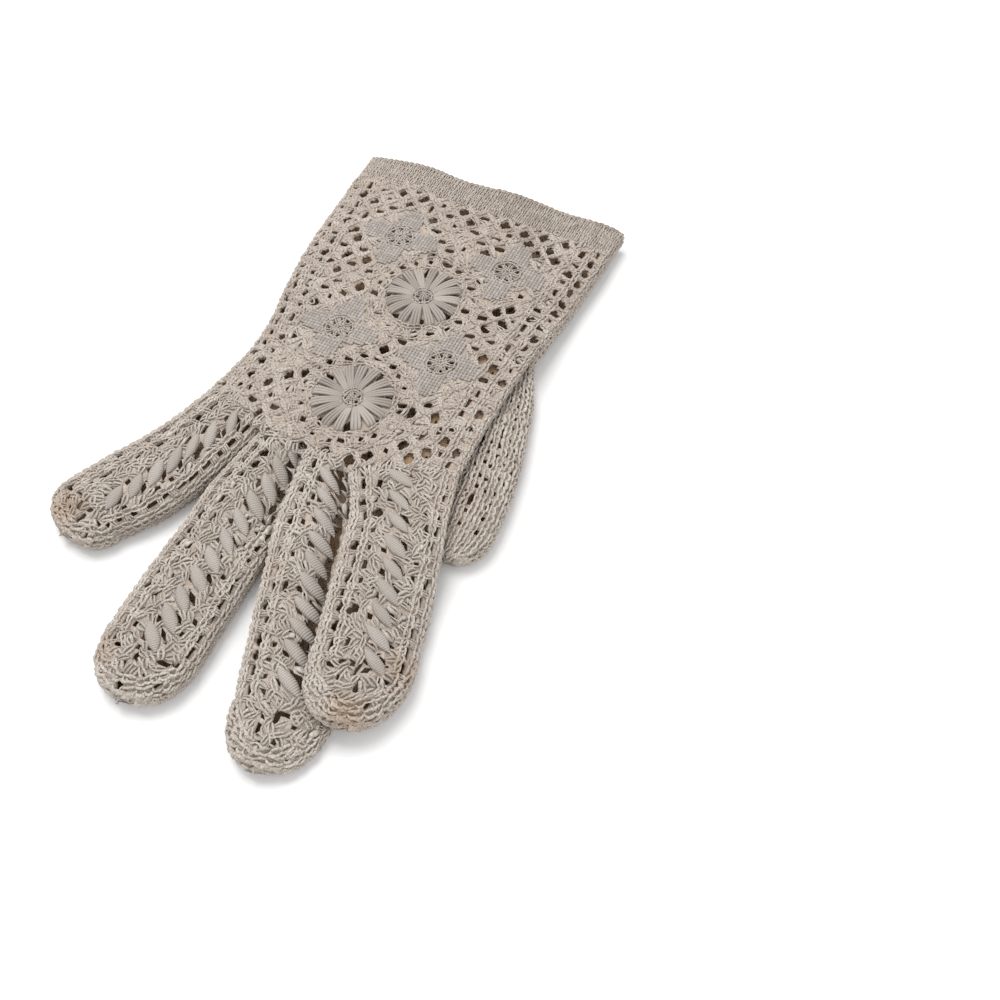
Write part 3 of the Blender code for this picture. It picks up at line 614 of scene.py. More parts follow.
def sew(kind, rows, cloth, holes=()):
    """Copies a stitch to every row of the table and bends it onto the cloth, round its holes.

    Returns points, triangles, and for each point its twist, its stitch's own tone and its painted shade,
    which stitches don't take.
    """
    points, faces, twist = STITCHES[kind]
    if len(holes):
        rows = rows[~in_holes(rows[:, 0:2], holes, 1.2 if kind == "loop" else 0.6)]
    count = len(rows)
    spread = len(points)
    cosine = np.cos(rows[:, 2])[:, None]
    sine = np.sin(rows[:, 2])[:, None]
    x = points[None, :, 0] * rows[:, 3:4]
    y = points[None, :, 1] * rows[:, 4:5]
    along = (rows[:, 0:1] + x * cosine - y * sine).ravel()
    around = (rows[:, 1:2] + x * sine + y * cosine).ravel()
    height = (points[None, :, 2] * rows[:, 5:6] + rows[:, 6:7]).ravel() - SINK
    home = np.repeat(rows[:, 0:2], spread, axis=0)
    if len(holes):
        along, around = part_threads(np.column_stack([along, around]), holes).T
    placed = cloth.spot(along, around, height, home)
    placed[:, 2] = np.maximum(placed[:, 2], FLOOR_GAP)
    ties = (faces[None, :, :] + (np.arange(count) * spread)[:, None, None]).reshape(-1, 3)
    middle, play = TONES[kind]
    tone = np.repeat(middle + play * chance.uniform(-0.5, 0.5, count), spread)
    shift = 0.0 if kind == "leaf" else 1.0
    turn = (twist[None, :] + shift * chance.uniform(0.0, 1.0, count)[:, None]).ravel()
    return placed, ties, turn, tone, np.zeros(len(placed))


def finish_piece(name, sewn, material):
    """Joins what was sewn into one mesh that stands for the CAD node of the same name."""
    first = 0
    ties = []
    for points, faces, *_ in sewn:
        ties.append(faces + first)
        first += len(points)
    faces = np.concatenate(ties)
    points, turn, tone, painted_shade = (np.concatenate([part[i] for part in sewn]) for i in (0, 2, 3, 4))
    final = points + (0.0, ORIGIN_Y, 0.0)
    mesh = bpy.data.meshes.new(name + "_thread")
    mesh.vertices.add(len(points))
    mesh.vertices.foreach_set("co", (final * MM).astype(np.float32).ravel())
    mesh.loops.add(faces.size)
    mesh.loops.foreach_set("vertex_index", faces.astype(np.int32).ravel())
    mesh.polygons.add(len(faces))
    mesh.polygons.foreach_set("loop_start", np.arange(0, faces.size, 3, dtype=np.int32))
    mesh.update(calc_edges=True)
    mesh.shade_smooth()
    far = np.hypot(points[:, 0, None] - STAINS[None, :, 0], points[:, 1, None] - STAINS[None, :, 1])
    stained = np.max(STAINS[None, :, 3] * ramp(1.0 - far / STAINS[None, :, 2]), axis=1)
    # the third value is the real stains, or the painted shade of the ground where that is stronger
    marks = np.stack([turn, tone, np.maximum(stained, painted_shade)], 1)
    layer = mesh.attributes.new("yarn", "FLOAT_VECTOR", "POINT")
    layer.data.foreach_set("vector", marks.astype(np.float32).ravel())
    mesh.materials.append(material)
    piece = bpy.data.objects.new(name + "_crochet", mesh)
    bpy.context.scene.collection.objects.link(piece)
    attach(piece, "root")
    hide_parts(name)
    print(name, len(faces), "triangles")


# Materials

def linear(code):
    """A hex sRGB colour as linear values."""
    values = [int(code[i:i + 2], 16) / 255.0 for i in (1, 3, 5)]
    return tuple(v / 12.92 if v <= 0.04045 else ((v + 0.055) / 1.055) ** 2.4 for v in values) + (1.0,)


def add(tree, kind, settings=None, inputs=None, links=None):
    """Adds a node with its settings, its input values, and links to its inputs."""
    node = tree.nodes.new(kind)
    for key, value in (settings or {}).items():
        setattr(node, key, value)
    for key, value in (inputs or {}).items():
        node.inputs[key].default_value = value
    for key, source in (links or {}).items():
        tree.links.new(source, node.inputs[key])
    return node


def cotton_thread(name, light, dark):
    """Mercerised cotton crochet thread: matt and soft, with a slight sheen along its twisted plies."""
    material = bpy.data.materials.new(name)
    material.use_nodes = True
    tree = material.node_tree
    tree.nodes.clear()
    colour = {"data_type": "RGBA"}
    times = {"data_type": "RGBA", "blend_type": "MULTIPLY"}
    yarn = add(tree, "ShaderNodeAttribute", {"attribute_name": "yarn"})
    split = add(tree, "ShaderNodeSeparateXYZ", links={0: yarn.outputs["Vector"]})
    place = add(tree, "ShaderNodeTexCoord")
    # Old cotton yellows and greys in soft patches
    patches = add(tree, "ShaderNodeTexNoise", inputs={"Scale": PATCHES, "Detail": 3.0, "Roughness": 0.6},
                  links={"Vector": place.outputs["Object"]})
    # Fine lint breaks up the thread's colour
    lint = add(tree, "ShaderNodeTexNoise", inputs={"Scale": LINT, "Detail": 2.0, "Roughness": 0.6},
               links={"Vector": place.outputs["Object"]})
    shade = add(tree, "ShaderNodeMath", {"operation": "MULTIPLY"}, {1: 0.5}, {0: split.outputs["Y"]})
    mixed = add(tree, "ShaderNodeMath", {"operation": "MULTIPLY_ADD"}, {1: 0.5},
                {0: patches.outputs["Fac"], 2: shade.outputs[0]})
    spread = add(tree, "ShaderNodeMapRange", inputs={"From Min": 0.15, "From Max": 0.85},
                 links={"Value": mixed.outputs[0]})
    base = add(tree, "ShaderNodeMix", colour, {"A": linear(dark), "B": linear(light)},
               {"Factor": spread.outputs[0]})
    linted = add(tree, "ShaderNodeMapRange", inputs={"To Min": 0.88, "To Max": 1.08},
                 links={"Value": lint.outputs["Fac"]})
    toned = add(tree, "ShaderNodeMix", times, {"Factor": 1.0},
                {"A": base.outputs["Result"], "B": linted.outputs[0]})
    # Handling and rust have stained it here and there; the same brown mix also paints shade on the inside of
    # the glove and between its stitches
    stain_and_shade = add(tree, "ShaderNodeMath", {"operation": "MULTIPLY"},
               links={0: split.outputs["Z"], 1: patches.outputs["Fac"]})
    stained = add(tree, "ShaderNodeMix", colour, {"B": linear("#A8855F")},
                  {"A": toned.outputs["Result"], "Factor": stain_and_shade.outputs[0]})
    # The plies of the thread wind round it about once a millimetre. The colour is painted darker in the
    # grooves between them as painted shade, and a little lighter on their crowns as a painted highlight
    turn = add(tree, "ShaderNodeMath", {"operation": "MULTIPLY"}, {1: math.tau}, {0: split.outputs["X"]})
    plies = add(tree, "ShaderNodeMath", {"operation": "SINE"}, links={0: turn.outputs[0]})
    grooves = add(tree, "ShaderNodeMapRange",
                  inputs={"From Min": -1.0, "To Min": GROOVE_SHADE, "To Max": 1.05},
                  links={"Value": plies.outputs[0]})
    grooved = add(tree, "ShaderNodeMix", times, {"Factor": 1.0},
                  {"A": stained.outputs["Result"], "B": grooves.outputs[0]})
    height = add(tree, "ShaderNodeMath", {"operation": "ADD"},
                 links={0: plies.outputs[0], 1: lint.outputs["Fac"]})
    bump = add(tree, "ShaderNodeBump", inputs={"Strength": 0.6, "Distance": 0.00012},
               links={"Height": height.outputs[0]})
    shader = add(tree, "ShaderNodeBsdfPrincipled",
                 inputs={"Roughness": 0.86, "Sheen Weight": 0.25, "Sheen Roughness": 0.5, "IOR": 1.5,
                         "Specular IOR Level": 0.3},
                 links={"Base Color": grooved.outputs["Result"], "Normal": bump.outputs["Normal"]})
    add(tree, "ShaderNodeOutputMaterial", links={"Surface": shader.outputs["BSDF"]})
    return material


CROCHET = cotton_thread("crochet_cotton_thread", "#D2C8BC", "#B7A99C")
WOVEN = cotton_thread("woven_cotton_thread", "#C6BDB3", "#A79D93")


# Lines on the fingers and the thumb

def seam_line(cloth, along, side, inset=0.0, under=0.0):
    """Flat spots a distance in from a side seam, or past it by a share of the way round underneath."""
    return np.column_stack([along, side * (cloth.reach(along) * (1.0 + cloth.ratio * under) - inset)])


def tip_line(cloth, turns, far):
    """Flat spots round the tip, at shares of the way from its middle to its edge."""
    reach = cloth.reach(cloth.length)[0]
    return np.column_stack([cloth.length + far * cloth.end * np.sin(turns), far * reach * np.cos(turns)])


def over_tip(cloth, turns, around, share):
    """Flat spots along a line that goes on over the tip."""
    return np.column_stack([cloth.length + share * cloth.end * np.sin(turns),
                            around * np.cos(turns) ** TIP_POWER])


def digit_grid(cloth, pitch):
    """Flat spots of a digit's ground cloth, in rings from the root to round the tip."""
    straight = np.arange(-1.2, cloth.length, pitch)
    bends = np.linspace(0.0, 1.42, int(cloth.end * 1.5 / pitch))
    along = np.concatenate([straight, cloth.length + cloth.end * np.sin(bends)])
    shrink = np.concatenate([np.ones(len(straight)), np.cos(bends) ** TIP_POWER])
    whole = 1.0 + cloth.ratio
    columns = int(round(2.0 * whole * cloth.reach(cloth.length / 2)[0] / pitch))
    share = (np.arange(columns) / columns * 2.0 - 1.0) * whole
    reach = cloth.reach(along) * shrink
    return np.stack([np.repeat(along[:, None], columns, 1), reach[:, None] * share[None, :]], 2)


# Pieces

def finger_leaves(cloth, name):
    """Where the leaves of a finger lie, and the slits beside them."""
    spots, degrees = LEAVES[name]
    flat = np.array([cloth.flat(x, y) for x, y in spots])
    count = len(flat)
    heading = math.radians(degrees) + np.radians(chance.uniform(-5, 5, count))
    size = chance.uniform(0.9, 1.04, count)
    forward = np.column_stack([np.cos(heading), np.sin(heading)])
    sideways = np.column_stack([-np.sin(heading), np.cos(heading)])
    gaps = []
    for beside, ahead, least, most, turn in ((2.45, 0.6, 1.9, 2.7, 0.1), (-2.4, -1.2, 1.2, 2.0, -0.15)):
        gaps.append(np.column_stack([
            flat + sideways * beside + forward * ahead, chance.uniform(least, most, count),
            chance.uniform(0.5, 0.72, count), heading + turn]))
    return lone(flat, heading, size, size * chance.uniform(0.94, 1.06, count), 0.9), np.concatenate(gaps)


def finger_holes(cloth, name):
    """Slits down the sides and underneath, the open crease, and the small holes of the tip."""
    end = cloth.length
    holes = []
    rungs = []
    for side, inset, wide in SLIT_COLUMNS:
        along = np.arange(3.0 + side, end + 1.5, 4.9)
        holes.append(slits(seam_line(cloth, along, side, inset), 1.6, wide))
        for shift in (1.7, 2.45, 3.2):
            heading = math.pi / 2 + chance.uniform(-0.35, 0.35, len(along))
            rungs.append(lone(seam_line(cloth, along + shift, side, inset), heading, 0.78, 0.8, 0.9))
        along = np.arange(5.4 - side, end, 5.0)
        holes.append(slits(seam_line(cloth, along, side, inset + 3.8), 1.4, wide - 0.1, 0.5 * side, 0.9))
        for share in (0.3, 0.7):
            along = np.arange(3.0 + 2.0 * share, end, 4.6)
            holes.append(slits(seam_line(cloth, along, side, under=share), 1.2, 0.5))
    if name in CREASES:
        wide, line = CREASES[name]
        line = np.array(line)
        along = np.arange(line[0, 0], line[-1, 0], 3.6)
        around = np.interp(along, line[:, 0], line[:, 1]) + chance.uniform(-0.3, 0.3, len(along))
        holes.append(np.column_stack([along, around, np.tile((2.2, wide, 0.0), (len(along), 1))]))
    turns = np.linspace(0.2, math.pi - 0.2, 12) + chance.uniform(-0.12, 0.12, 12)
    far = np.tile(TIP_HOLES, 4) + chance.uniform(-0.08, 0.08, 12)
    holes.append(slits(tip_line(cloth, turns, far), 1.6, 0.62, turns + math.pi / 2))
    return holes, rungs


def loose_loops(cloth, leaves):
    """Loops that lie every way between the ridges and the leaves, and fill the tip."""
    end = cloth.length
    reach = cloth.reach(end)[0]
    spots = []
    for place in np.arange(-0.4, end + 0.66 * cloth.end, 2.3):
        shrink = (1.0 - (max(place - end, 0.0) / cloth.end) ** 2) ** 0.43
        left, right = (reach - 8.9, reach - 5.6) if place < end - 1.5 else (0.6 * reach * shrink,) * 2
        spots += [(place, around) for around in np.arange(-left, right + 0.4, 1.95)]
    spots = np.array(spots)
    spots = spots + chance.uniform(-0.6, 0.6, spots.shape)
    slant = leaves[:, 2].mean()
    rooms = np.column_stack([leaves[:, 0:2], np.tile((*LEAF_ROOM, slant), (len(leaves), 1))])
    spots = spots[~in_holes(spots, rooms, 1.0)]
    count = len(spots)
    aim = np.where(chance.uniform(0, 1, count) < 0.55, slant, -0.7) + chance.uniform(-0.5, 0.5, count)
    return lone(spots, aim, chance.uniform(0.7, 1.05, count), chance.uniform(0.8, 1.15, count),
                chance.uniform(0.75, 1.05, count), chance.uniform(-0.15, 0.15, count))


def make_finger(name):
    """A finger: edge chains and slits down each side, loose strands, and leaves down the middle."""
    cloth = DIGIT_CLOTHS[name]
    reach = cloth.reach(cloth.length)[0]
    marks = np.linspace(-0.6, cloth.length, 60)
    leaves, gaps = finger_leaves(cloth, name)
    holes, rungs = finger_holes(cloth, name)
    base, holes = ground(cloth, digit_grid(cloth, 1.1), np.concatenate([gaps, *holes]), True, -0.4, 0.5, 12)
    chain = []
    for side, inset, wide in EDGE_CHAINS:
        edge = seam_line(cloth, marks, side, inset)
        chain.append(row_of(edge, 2.3, wide=wide, lift=0.15 if inset < 1.0 else 0.0, loose=1.6))
    turns = np.linspace(0.0, math.pi, 40)
    for share in TIP_CHAINS:
        swell = share + (1.0 - share) * 0.07 * np.sin(5.0 * turns + 9.0 * share)
        chain.append(row_of(tip_line(cloth, turns, swell), 2.1, wide=1.1, lift=0.05, loose=2.8))
    strands = loose_loops(cloth, leaves)
    plain = []
    turns = np.linspace(0.0, math.pi / 2, 20)
    for share in UNDER_ROWS:
        for side in (-1.0, 1.0):
            plain.append(row_of(seam_line(cloth, marks, side, under=share), 2.3))
            around = side * reach * (1.0 + cloth.ratio * share)
            plain.append(row_of(over_tip(cloth, turns, around, 0.97), 2.3))
    sewn = [base, sew("chain", np.concatenate(chain), cloth, holes),
            sew("loop", np.concatenate([strands, *rungs]), cloth, holes),
            sew("plain", np.concatenate(plain), cloth, holes)]
    finish_piece(name + "_finger", sewn, CROCHET)
    finish_piece(name + "_leaves", [sew("leaf", leaves, cloth)], WOVEN)


def make_thumb():
    """The thumb, plain like the palm: ridges along it with small gaps between them."""
    cloth = DIGIT_CLOTHS["thumb"]
    end = cloth.length
    reach = cloth.reach(end)[0]
    marks = np.linspace(-0.6, end, 50)
    turns = np.linspace(0.0, 1.35, 20)
    count = int(reach * (1.0 + cloth.ratio) / RIDGE_STEP)
    holes = []
    rows = []
    for i in range(-count, count + 1):
        ridge = i * RIDGE_STEP / reach
        rows.append(row_of(np.column_stack([marks, ridge * cloth.reach(marks)]), 2.25, wide=1.1, loose=1.6))
        rows.append(row_of(over_tip(cloth, turns, ridge * reach, 1.0), 2.3, high=0.9))
        along = np.arange(2.0 + 1.1 * (i % 2), end + 2.0, 4.3)
        between_ridges = (ridge + 0.5 * RIDGE_STEP / reach) * cloth.reach(along)
        holes.append(slits(np.column_stack([along, between_ridges]), 1.2, 0.5, 0.25))
    base, holes = ground(cloth, digit_grid(cloth, 1.2), np.concatenate(holes), True, -0.45, 0.4)
    finish_piece("thumb", [base, sew("chain", np.concatenate(rows), cloth, holes)], CROCHET)


def knuckle_y(x):
    return np.interp(x, KNUCKLES[:, 0], KNUCKLES[:, 1])


def flower_reach(angle):
    """Radius of a woven block: four lobes, along and across the hand."""
    return 10.6 + 3.2 * np.cos(4.0 * angle)


def wheel(centre, radius, turns):
    """Flat spots on the back of the hand, at turns round a motif."""
    return HAND_CLOTH.flat(centre[0] + radius * np.cos(turns), centre[1] + radius * np.sin(turns))


def outward(turns):
    """Directions on the flat cloth that point away from a motif's middle."""
    return np.arctan2(np.cos(turns), np.sin(turns))


def is_free(x, y, margin=0.0):
    """True where the coarse net shows: inside the back and off the rosettes and flowers."""
    free = (y > knuckle_y(x) - 0.5) & (y < CUFF_LOW + 0.5)
    for cx, cy in ROSETTES.values():
        free &= np.hypot(x - cx, y - cy) > ROSETTE_RADIUS + margin
    for cx, cy in FLOWERS.values():
        free &= np.hypot(x - cx, y - cy) > flower_reach(np.arctan2(y - cy, x - cx)) + margin
    return free


def plan_x(flat):
    """x of flat spots on the back of the hand."""
    centre, half, _ = HAND_CLOTH.section(flat[:, 0])
    size = np.abs(flat[:, 1]) / (half * HAND_CLOTH.top / HAND_CLOTH.half)
    return centre + np.interp(size, HAND_CLOTH.top_run, HAND_CLOTH.top_v) * np.sign(flat[:, 1]) * half


def plan_under(flat):
    """x of flat spots on the palm."""
    cloth = HAND_CLOTH
    centre, half, _ = cloth.section(flat[:, 0])
    reach = half * cloth.top / cloth.half
    beyond = half * cloth.under / cloth.half
    share = np.clip((reach + beyond - np.abs(flat[:, 1])) / beyond, 0.0, 1.0)
    return centre + np.interp(share, cloth.under_run, cloth.under_v) * np.sign(flat[:, 1]) * half


def keep(rows, margin=0.0):
    """Leaves out what would lie on a motif or past the panel's edge."""
    rows = np.concatenate(rows)
    return rows[is_free(plan_x(rows[:, 0:2]), rows[:, 0], margin)]


def hand_grid(side, pitch, beyond=0.0):
    """Flat spots of the ground cloth of the back or the palm, from the cuff to the knuckles."""
    cloth = HAND_CLOTH
    columns = int(2.0 * float(cloth.reach(100.0)[0]) / pitch)
    share = np.linspace(-1.0, 1.0, columns + 1)
    low = np.full(len(share), -12.0)
    for _ in range(5):
        centre, half, _ = cloth.section(low)
        low = knuckle_y(centre + share * half) - beyond
    rows = int((CUFF_LOW + 14.0) / pitch)
    y = CUFF_LOW + (low[None, :] - CUFF_LOW) * np.linspace(0.0, 1.0, rows + 1)[:, None]
    reach = cloth.reach(y.ravel()).reshape(y.shape)
    around = reach * share[None, :]
    if side < 0:
        around = np.sign(share)[None, :] * reach * (1.0 + cloth.ratio * (1.0 - np.abs(share)[None, :]))
    return np.stack([y, around], 2)


def lattice():
    """Cords and holes of the coarse net, whose lines run both ways across the back."""
    half = LATTICE / math.sqrt(2.0)
    i, j = np.meshgrid(np.arange(-26, 27), np.arange(-26, 27), indexing="ij")
    nodes = np.stack([38.0 + (i + j) * half, (i - j) * half], 2) + chance.uniform(-0.5, 0.5, (*i.shape, 2))
    cords = []
    for starts, stops in ((nodes[:-1], nodes[1:]), (nodes[:, :-1], nodes[:, 1:])):
        steps = (stops - starts).reshape(-1, 2)
        long = np.hypot(steps[:, 0], steps[:, 1]) / CORD_LENGTH
        middles = ((starts + stops) / 2.0).reshape(-1, 2)
        cords.append(lone(middles, np.arctan2(steps[:, 1], steps[:, 0]), long,
                          chance.uniform(0.85, 1.1, len(long)), 1.0, chance.uniform(-0.15, 0.15, len(long))))
    cells = ((nodes[:-1, :-1] + nodes[1:, :-1] + nodes[:-1, 1:] + nodes[1:, 1:]) / 4.0).reshape(-1, 2)
    holes = slits(cells, 1.45, 1.2, chance.uniform(0, math.pi, len(cells)), 0.4)
    holes = holes[chance.uniform(0, 1, len(holes)) < 0.92]
    kept = []
    for rows in (np.concatenate(cords), holes):
        rows = rows[np.abs(rows[:, 1]) < HAND_CLOTH.reach(rows[:, 0]) - 12.6]
        for cx, cy in ROSETTES.values():
            rows = rows[np.hypot(plan_x(rows[:, 0:2]) - cx, rows[:, 0] - cy) > ROSETTE_RADIUS + 5.8]
        kept.append(rows)
    return kept


def ladders(cloth):
    """Chains, rungs and holes of the two ladders down each side of the back."""
    marks = np.linspace(CUFF_LOW, -18.0, 90)
    chain = []
    holes = []
    rungs = []
    for side in (-1.0, 1.0):
        for inset in (0.2, 2.3, 7.2, 12.0):
            edge = seam_line(cloth, marks, side, inset)
            chain.append(row_of(edge, 2.35, wide=1.1 if inset < 1.0 else 0.95, loose=1.8))
        for inset, shift in ((4.8, 0.0), (9.6, 2.3)):
            y = np.arange(CUFF_LOW - 3.0 - shift, -16.0, -4.9)
            holes.append(slits(seam_line(cloth, y, side, inset), 1.35, 1.15, 0.0, 0.6))
            aim = math.pi / 2 + chance.uniform(-0.3, 0.3, len(y))
            rungs.append(lone(seam_line(cloth, y + 2.45, side, inset), aim, 0.95, 0.95, 1.0, -0.1))
    return chain, holes, rungs


def make_back():
    """Coarse net on the back of the hand: ladders down both sides and a diagonal net between them."""
    cloth = HAND_CLOTH
    net_cords, net_holes = lattice()
    chain, holes, rungs = ladders(cloth)
    cords = [net_cords, *rungs]
    holes = [net_holes, *holes]
    turns = np.linspace(0.0, math.tau, 60)
    rings = []
    for centre in ROSETTES.values():
        for radius, sway in ((ROSETTE_RADIUS + 0.6, 0.2), (ROSETTE_RADIUS + 5.2, 0.8)):
            swayed = radius + sway * np.sin(5.0 * turns + centre[1])
            rings.append(row_of(wheel(centre, swayed, turns), 2.2, wide=0.9, loose=3.0, lift=-0.1))
        spokes = np.arange(20) * math.tau / 20 + chance.uniform(-0.05, 0.05, 20)
        holes.append(slits(wheel(centre, ROSETTE_RADIUS + 3.1, spokes), 1.15, 1.0, outward(spokes), 0.4))
        spokes = spokes + math.pi / 20
        cords.append(lone(wheel(centre, ROSETTE_RADIUS + 3.1, spokes), outward(spokes), 0.9, 0.8, 0.9, -0.1))
    holes = keep(holes, 1.3)
    eyes = []
    for motifs, radius, count, long, wide in EYES:
        turned = (np.arange(count) + 0.5) * math.tau / count
        for centre in motifs.values():
            eyes.append(slits(wheel(centre, radius, turned), long, wide, outward(turned), 0.1))
    grid = hand_grid(1, 1.12, 2.0)
    flat = grid.reshape(-1, 2)
    # the cloth dips under the fingers' roots past the knuckles
    tuck = -0.2 - 1.9 * ramp((knuckle_y(plan_x(flat)) + 1.0 - flat[:, 0]) / 3.0)
    base, cut = ground(cloth, grid, np.concatenate([holes, *eyes]), False, tuck, 0.85)
    cut = cut[:len(holes)]
    rows = keep(chain)
    rings = keep(rings, -1.0)
    cords = keep(cords, 0.3)
    spots = hand_grid(1, 2.5, 2.0).reshape(-1, 2)
    spots = spots + chance.uniform(-0.8, 0.8, spots.shape)
    x = plan_x(spots)
    low = knuckle_y(x)
    spots = spots[is_free(x, np.maximum(spots[:, 0], low)) & (spots[:, 0] > low - 2.3) &
                  (spots[:, 0] < CUFF_LOW - 1.3) & ~in_holes(spots, cut, 1.2)]
    count = len(spots)
    loops = lone(spots, chance.uniform(0, math.pi, count), chance.uniform(0.7, 1.0, count), 1.0, 0.8,
                 chance.uniform(-0.3, -0.1, count))
    curled = cut[chance.uniform(0, 1, len(cut)) < 0.06, 0:2]
    curls = lone(curled + chance.uniform(-0.9, 0.9, curled.shape), chance.uniform(0, math.tau, len(curled)),
                 1.15, 1.15, 1.0, 0.15)
    sewn = [base, sew("plain", np.concatenate([rows, rings]), cloth, cut), sew("cord", cords, cloth, cut),
            sew("loop", loops, cloth, cut), sew("curl", curls, cloth)]
    finish_piece("back_panel", sewn, CROCHET)


def make_palm():
    """Plain ridges of crochet along the palm, with small gaps between them."""
    cloth = HAND_CLOTH
    rows = []
    holes = []
    marks = np.linspace(CUFF_LOW, -18.0, 80)
    for i, share in enumerate(np.arange(-0.97, 0.98, RIDGE_SHARE)):
        line = seam_line(cloth, marks, 1.0 if share > 0 else -1.0, under=1.0 - abs(share))
        rows.append(row_of(line, 2.5, wide=1.3))
        share += RIDGE_SHARE / 2
        y = np.arange(CUFF_LOW - 3.0 - 1.2 * (i % 2), -16.0, -4.6)
        line = seam_line(cloth, y, 1.0 if share > 0 else -1.0, under=1.0 - min(abs(share), 1.0))
        holes.append(slits(line, 0.75, 0.5, 0.0, 0.3))
    rows = np.concatenate(rows)
    rows = rows[rows[:, 0] > knuckle_y(plan_under(rows[:, 0:2])) - 0.5]
    base, holes = ground(cloth, hand_grid(-1, 1.3, 1.0), np.concatenate(holes), False, -0.5, 0.6)
    finish_piece("palm_panel", [base, sew("plain", rows, cloth, holes)], CROCHET)


def make_cuff():
    """Band of single crochet: rows of upright stitches and a chain along the top edge."""
    cloth = HAND_CLOTH
    total = float(cloth.reach(100.0)[0])
    whole = total * (1.0 + cloth.ratio)
    low = CUFF_LOW - 0.8
    high = CUFF_HIGH + 0.4
    rows = []
    for t in np.arange(-whole, whole, 1.5):
        top = CUFF_HIGH - 0.4 + CUFF_WAVE * math.sin(9.0 * t / total)
        rows.append(row_of([(low, t), (top, t)], 2.2, wide=0.66, loose=0.9, high=0.55))
    t = np.linspace(-whole, whole, 200)
    rim = np.column_stack([CUFF_HIGH - 0.3 + CUFF_WAVE * np.sin(9.0 * t / total), t])
    rows.append(row_of(rim, 2.0, wide=0.5, loose=0.6))
    share = (np.arange(130) / 130 * 2.0 - 1.0) * whole
    grid = np.stack(np.meshgrid(np.linspace(low, high, 10), share, indexing="ij"), 2)
    grid[..., 0] += CUFF_WAVE * np.sin(9.0 * grid[..., 1] / total) * (grid[..., 0] - low) / (high - low)
    base, _ = ground(cloth, grid, np.zeros((0, 5)), True, -0.3)
    finish_piece("cuff_band", [base, sew("plain", np.concatenate(rows), cloth)], CROCHET)


def hub_rings(centre, pitch, rings):
    """Fine chains round a motif's middle."""
    turns = np.linspace(0.0, math.tau, 24)
    return [row_of(wheel(centre, radius, turns), pitch, wide=wide, high=0.7) for radius, wide in rings]


def hub_spokes(centre, count, ends, pitch, wide, high):
    """Fine chains across a motif's middle."""
    lines = [np.concatenate([wheel(centre, r, math.tau * i / count) for r in ends]) for i in range(count)]
    return [row_of(line, pitch, wide=wide, high=high) for line in lines]


def make_rosette(name, centre):
    """Wheel of ribbed petals in eight groups round a small hub."""
    cloth = HAND_CLOTH
    petals = []
    for group in range(ROSETTE_GROUPS):
        middle = math.tau * group / ROSETTE_GROUPS + chance.uniform(-0.04, 0.04)
        for lean in (-0.185, 0.185):
            angle = middle + lean
            petals.append(lone(wheel(centre, 7.9, angle), outward(angle) + chance.uniform(-0.06, 0.06),
                               chance.uniform(0.94, 1.0), chance.uniform(0.95, 1.1),
                               chance.uniform(0.85, 1.05), 0.1))
    chain = hub_rings(centre, 1.7, ((3.2, 0.7), (0.8, 0.5)))
    chain += hub_spokes(centre, 6, (0.9, 4.2), 1.6, 0.42, 0.6)
    sewn = [sew("petal", np.concatenate(petals), cloth), sew("chain", np.concatenate(chain), cloth)]
    finish_piece(name, sewn, WOVEN)


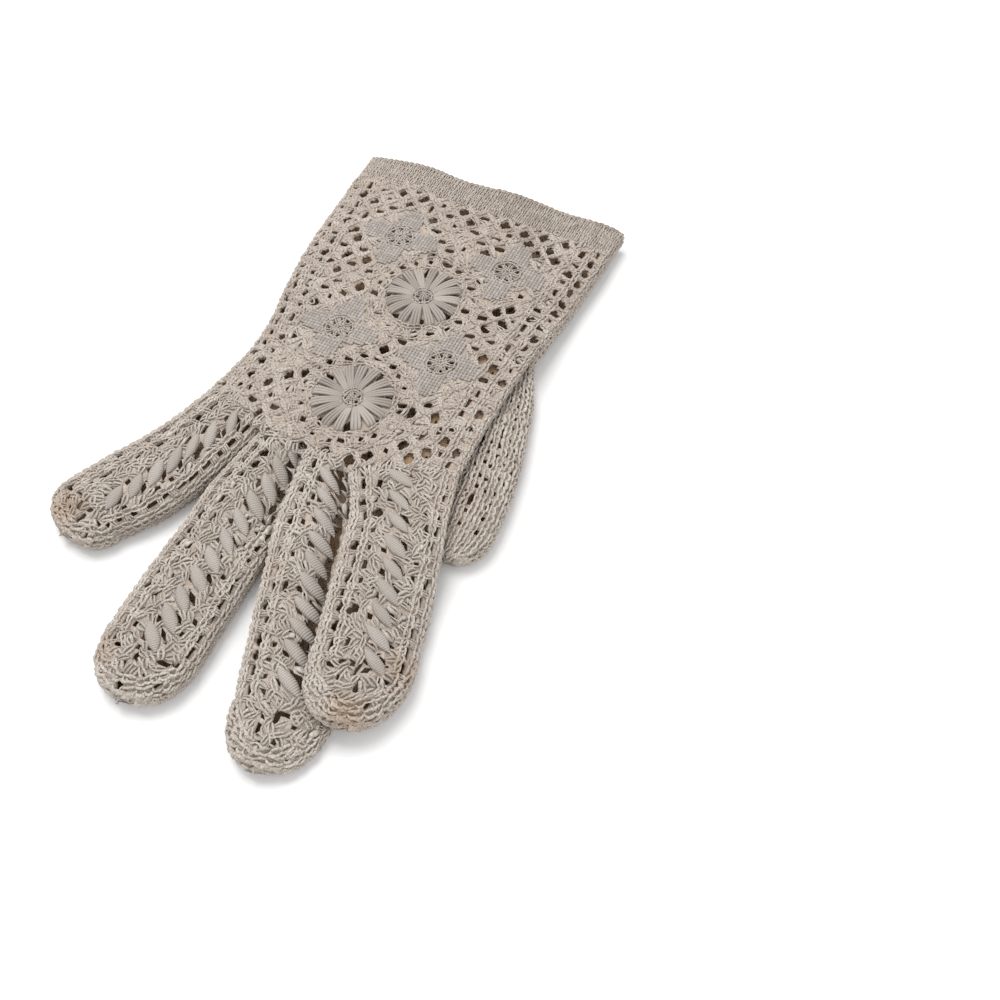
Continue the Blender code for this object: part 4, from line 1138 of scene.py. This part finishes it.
def make_flower(name, centre):
    """Fine woven net with four lobes and an open eye."""
    cloth = HAND_CLOTH
    steps = np.arange(-15.0, 15.0, NET_PITCH)
    grid = np.array([(centre[0] + x, centre[1] + y) for x in steps for y in steps])
    off = grid - centre
    far = np.hypot(off[:, 0], off[:, 1])
    edge = flower_reach(np.arctan2(off[:, 1], off[:, 0])) - chance.uniform(0.0, 1.0, len(grid))
    grid = grid[(far < edge) & (far > 4.9) & (far < 14.5)]
    net = lone(cloth.flat(grid[:, 0], grid[:, 1]), 0.0, lift=0.1)
    chain = hub_spokes(centre, 8, (1.1, 5.0), 2.0, 0.6, 0.7)
    chain += hub_rings(centre, 1.9, ((4.9, 0.75), (1.4, 0.6)))
    sewn = [sew("net", net, cloth), sew("chain", np.concatenate(chain), cloth)]
    finish_piece(name, sewn, WOVEN)


def make_floor():
    bpy.ops.object.select_all(action="DESELECT")
    bpy.ops.mesh.primitive_plane_add(size=6.0, location=(0.0, 0.0, 0.0))
    floor = bpy.context.object
    floor.name = "floor"
    # Matt painted board: even, with no gloss
    material = bpy.data.materials.new("painted_board")
    material.use_nodes = True
    shader = material.node_tree.nodes["Principled BSDF"]
    shader.inputs["Base Color"].default_value = linear("#F6F5F3")
    shader.inputs["Roughness"].default_value = 0.9
    floor.data.materials.append(material)


def make_lights():
    world = bpy.data.worlds.new("studio")
    world.use_nodes = True
    world.node_tree.nodes["Background"].inputs["Color"].default_value = linear("#F4F6FA")
    world.node_tree.nodes["Background"].inputs["Strength"].default_value = 0.68
    bpy.context.scene.world = world
    for name, place, turn, size, power in (
            ("window", (-0.3, 0.2, 0.85), (math.radians(-13), math.radians(-19), 0.0), 0.55, 6.2),
            ("fill", (0.6, -0.5, 0.8), (math.radians(30), math.radians(33), 0.0), 0.9, 3.0)):
        light = bpy.data.lights.new(name, "AREA")
        light.size = size
        light.energy = power
        lamp = bpy.data.objects.new(name, light)
        lamp.location = place
        lamp.rotation_euler = turn
        bpy.context.scene.collection.objects.link(lamp)


def make_camera():
    lens = bpy.data.cameras.new("camera")
    lens.lens = CAMERA_LENS
    lens.sensor_width = 36.0
    lens.clip_start = 0.01
    camera = bpy.data.objects.new("camera", lens)
    camera.location = CAMERA_PLACE
    camera.rotation_euler = (CAMERA_TILT, 0.0, CAMERA_TURN)
    bpy.context.scene.collection.objects.link(camera)
    bpy.context.scene.camera = camera


make_camera()
make_floor()
make_lights()
make_cuff()
make_back()
make_palm()
for rosette_name, rosette_centre in ROSETTES.items():
    make_rosette(rosette_name, rosette_centre)
for flower_name, flower_centre in FLOWERS.items():
    make_flower(flower_name, flower_centre)
for finger_name in LEAVES:
    make_finger(finger_name)
make_thumb()

bpy.context.scene.view_settings.view_transform = "Standard"
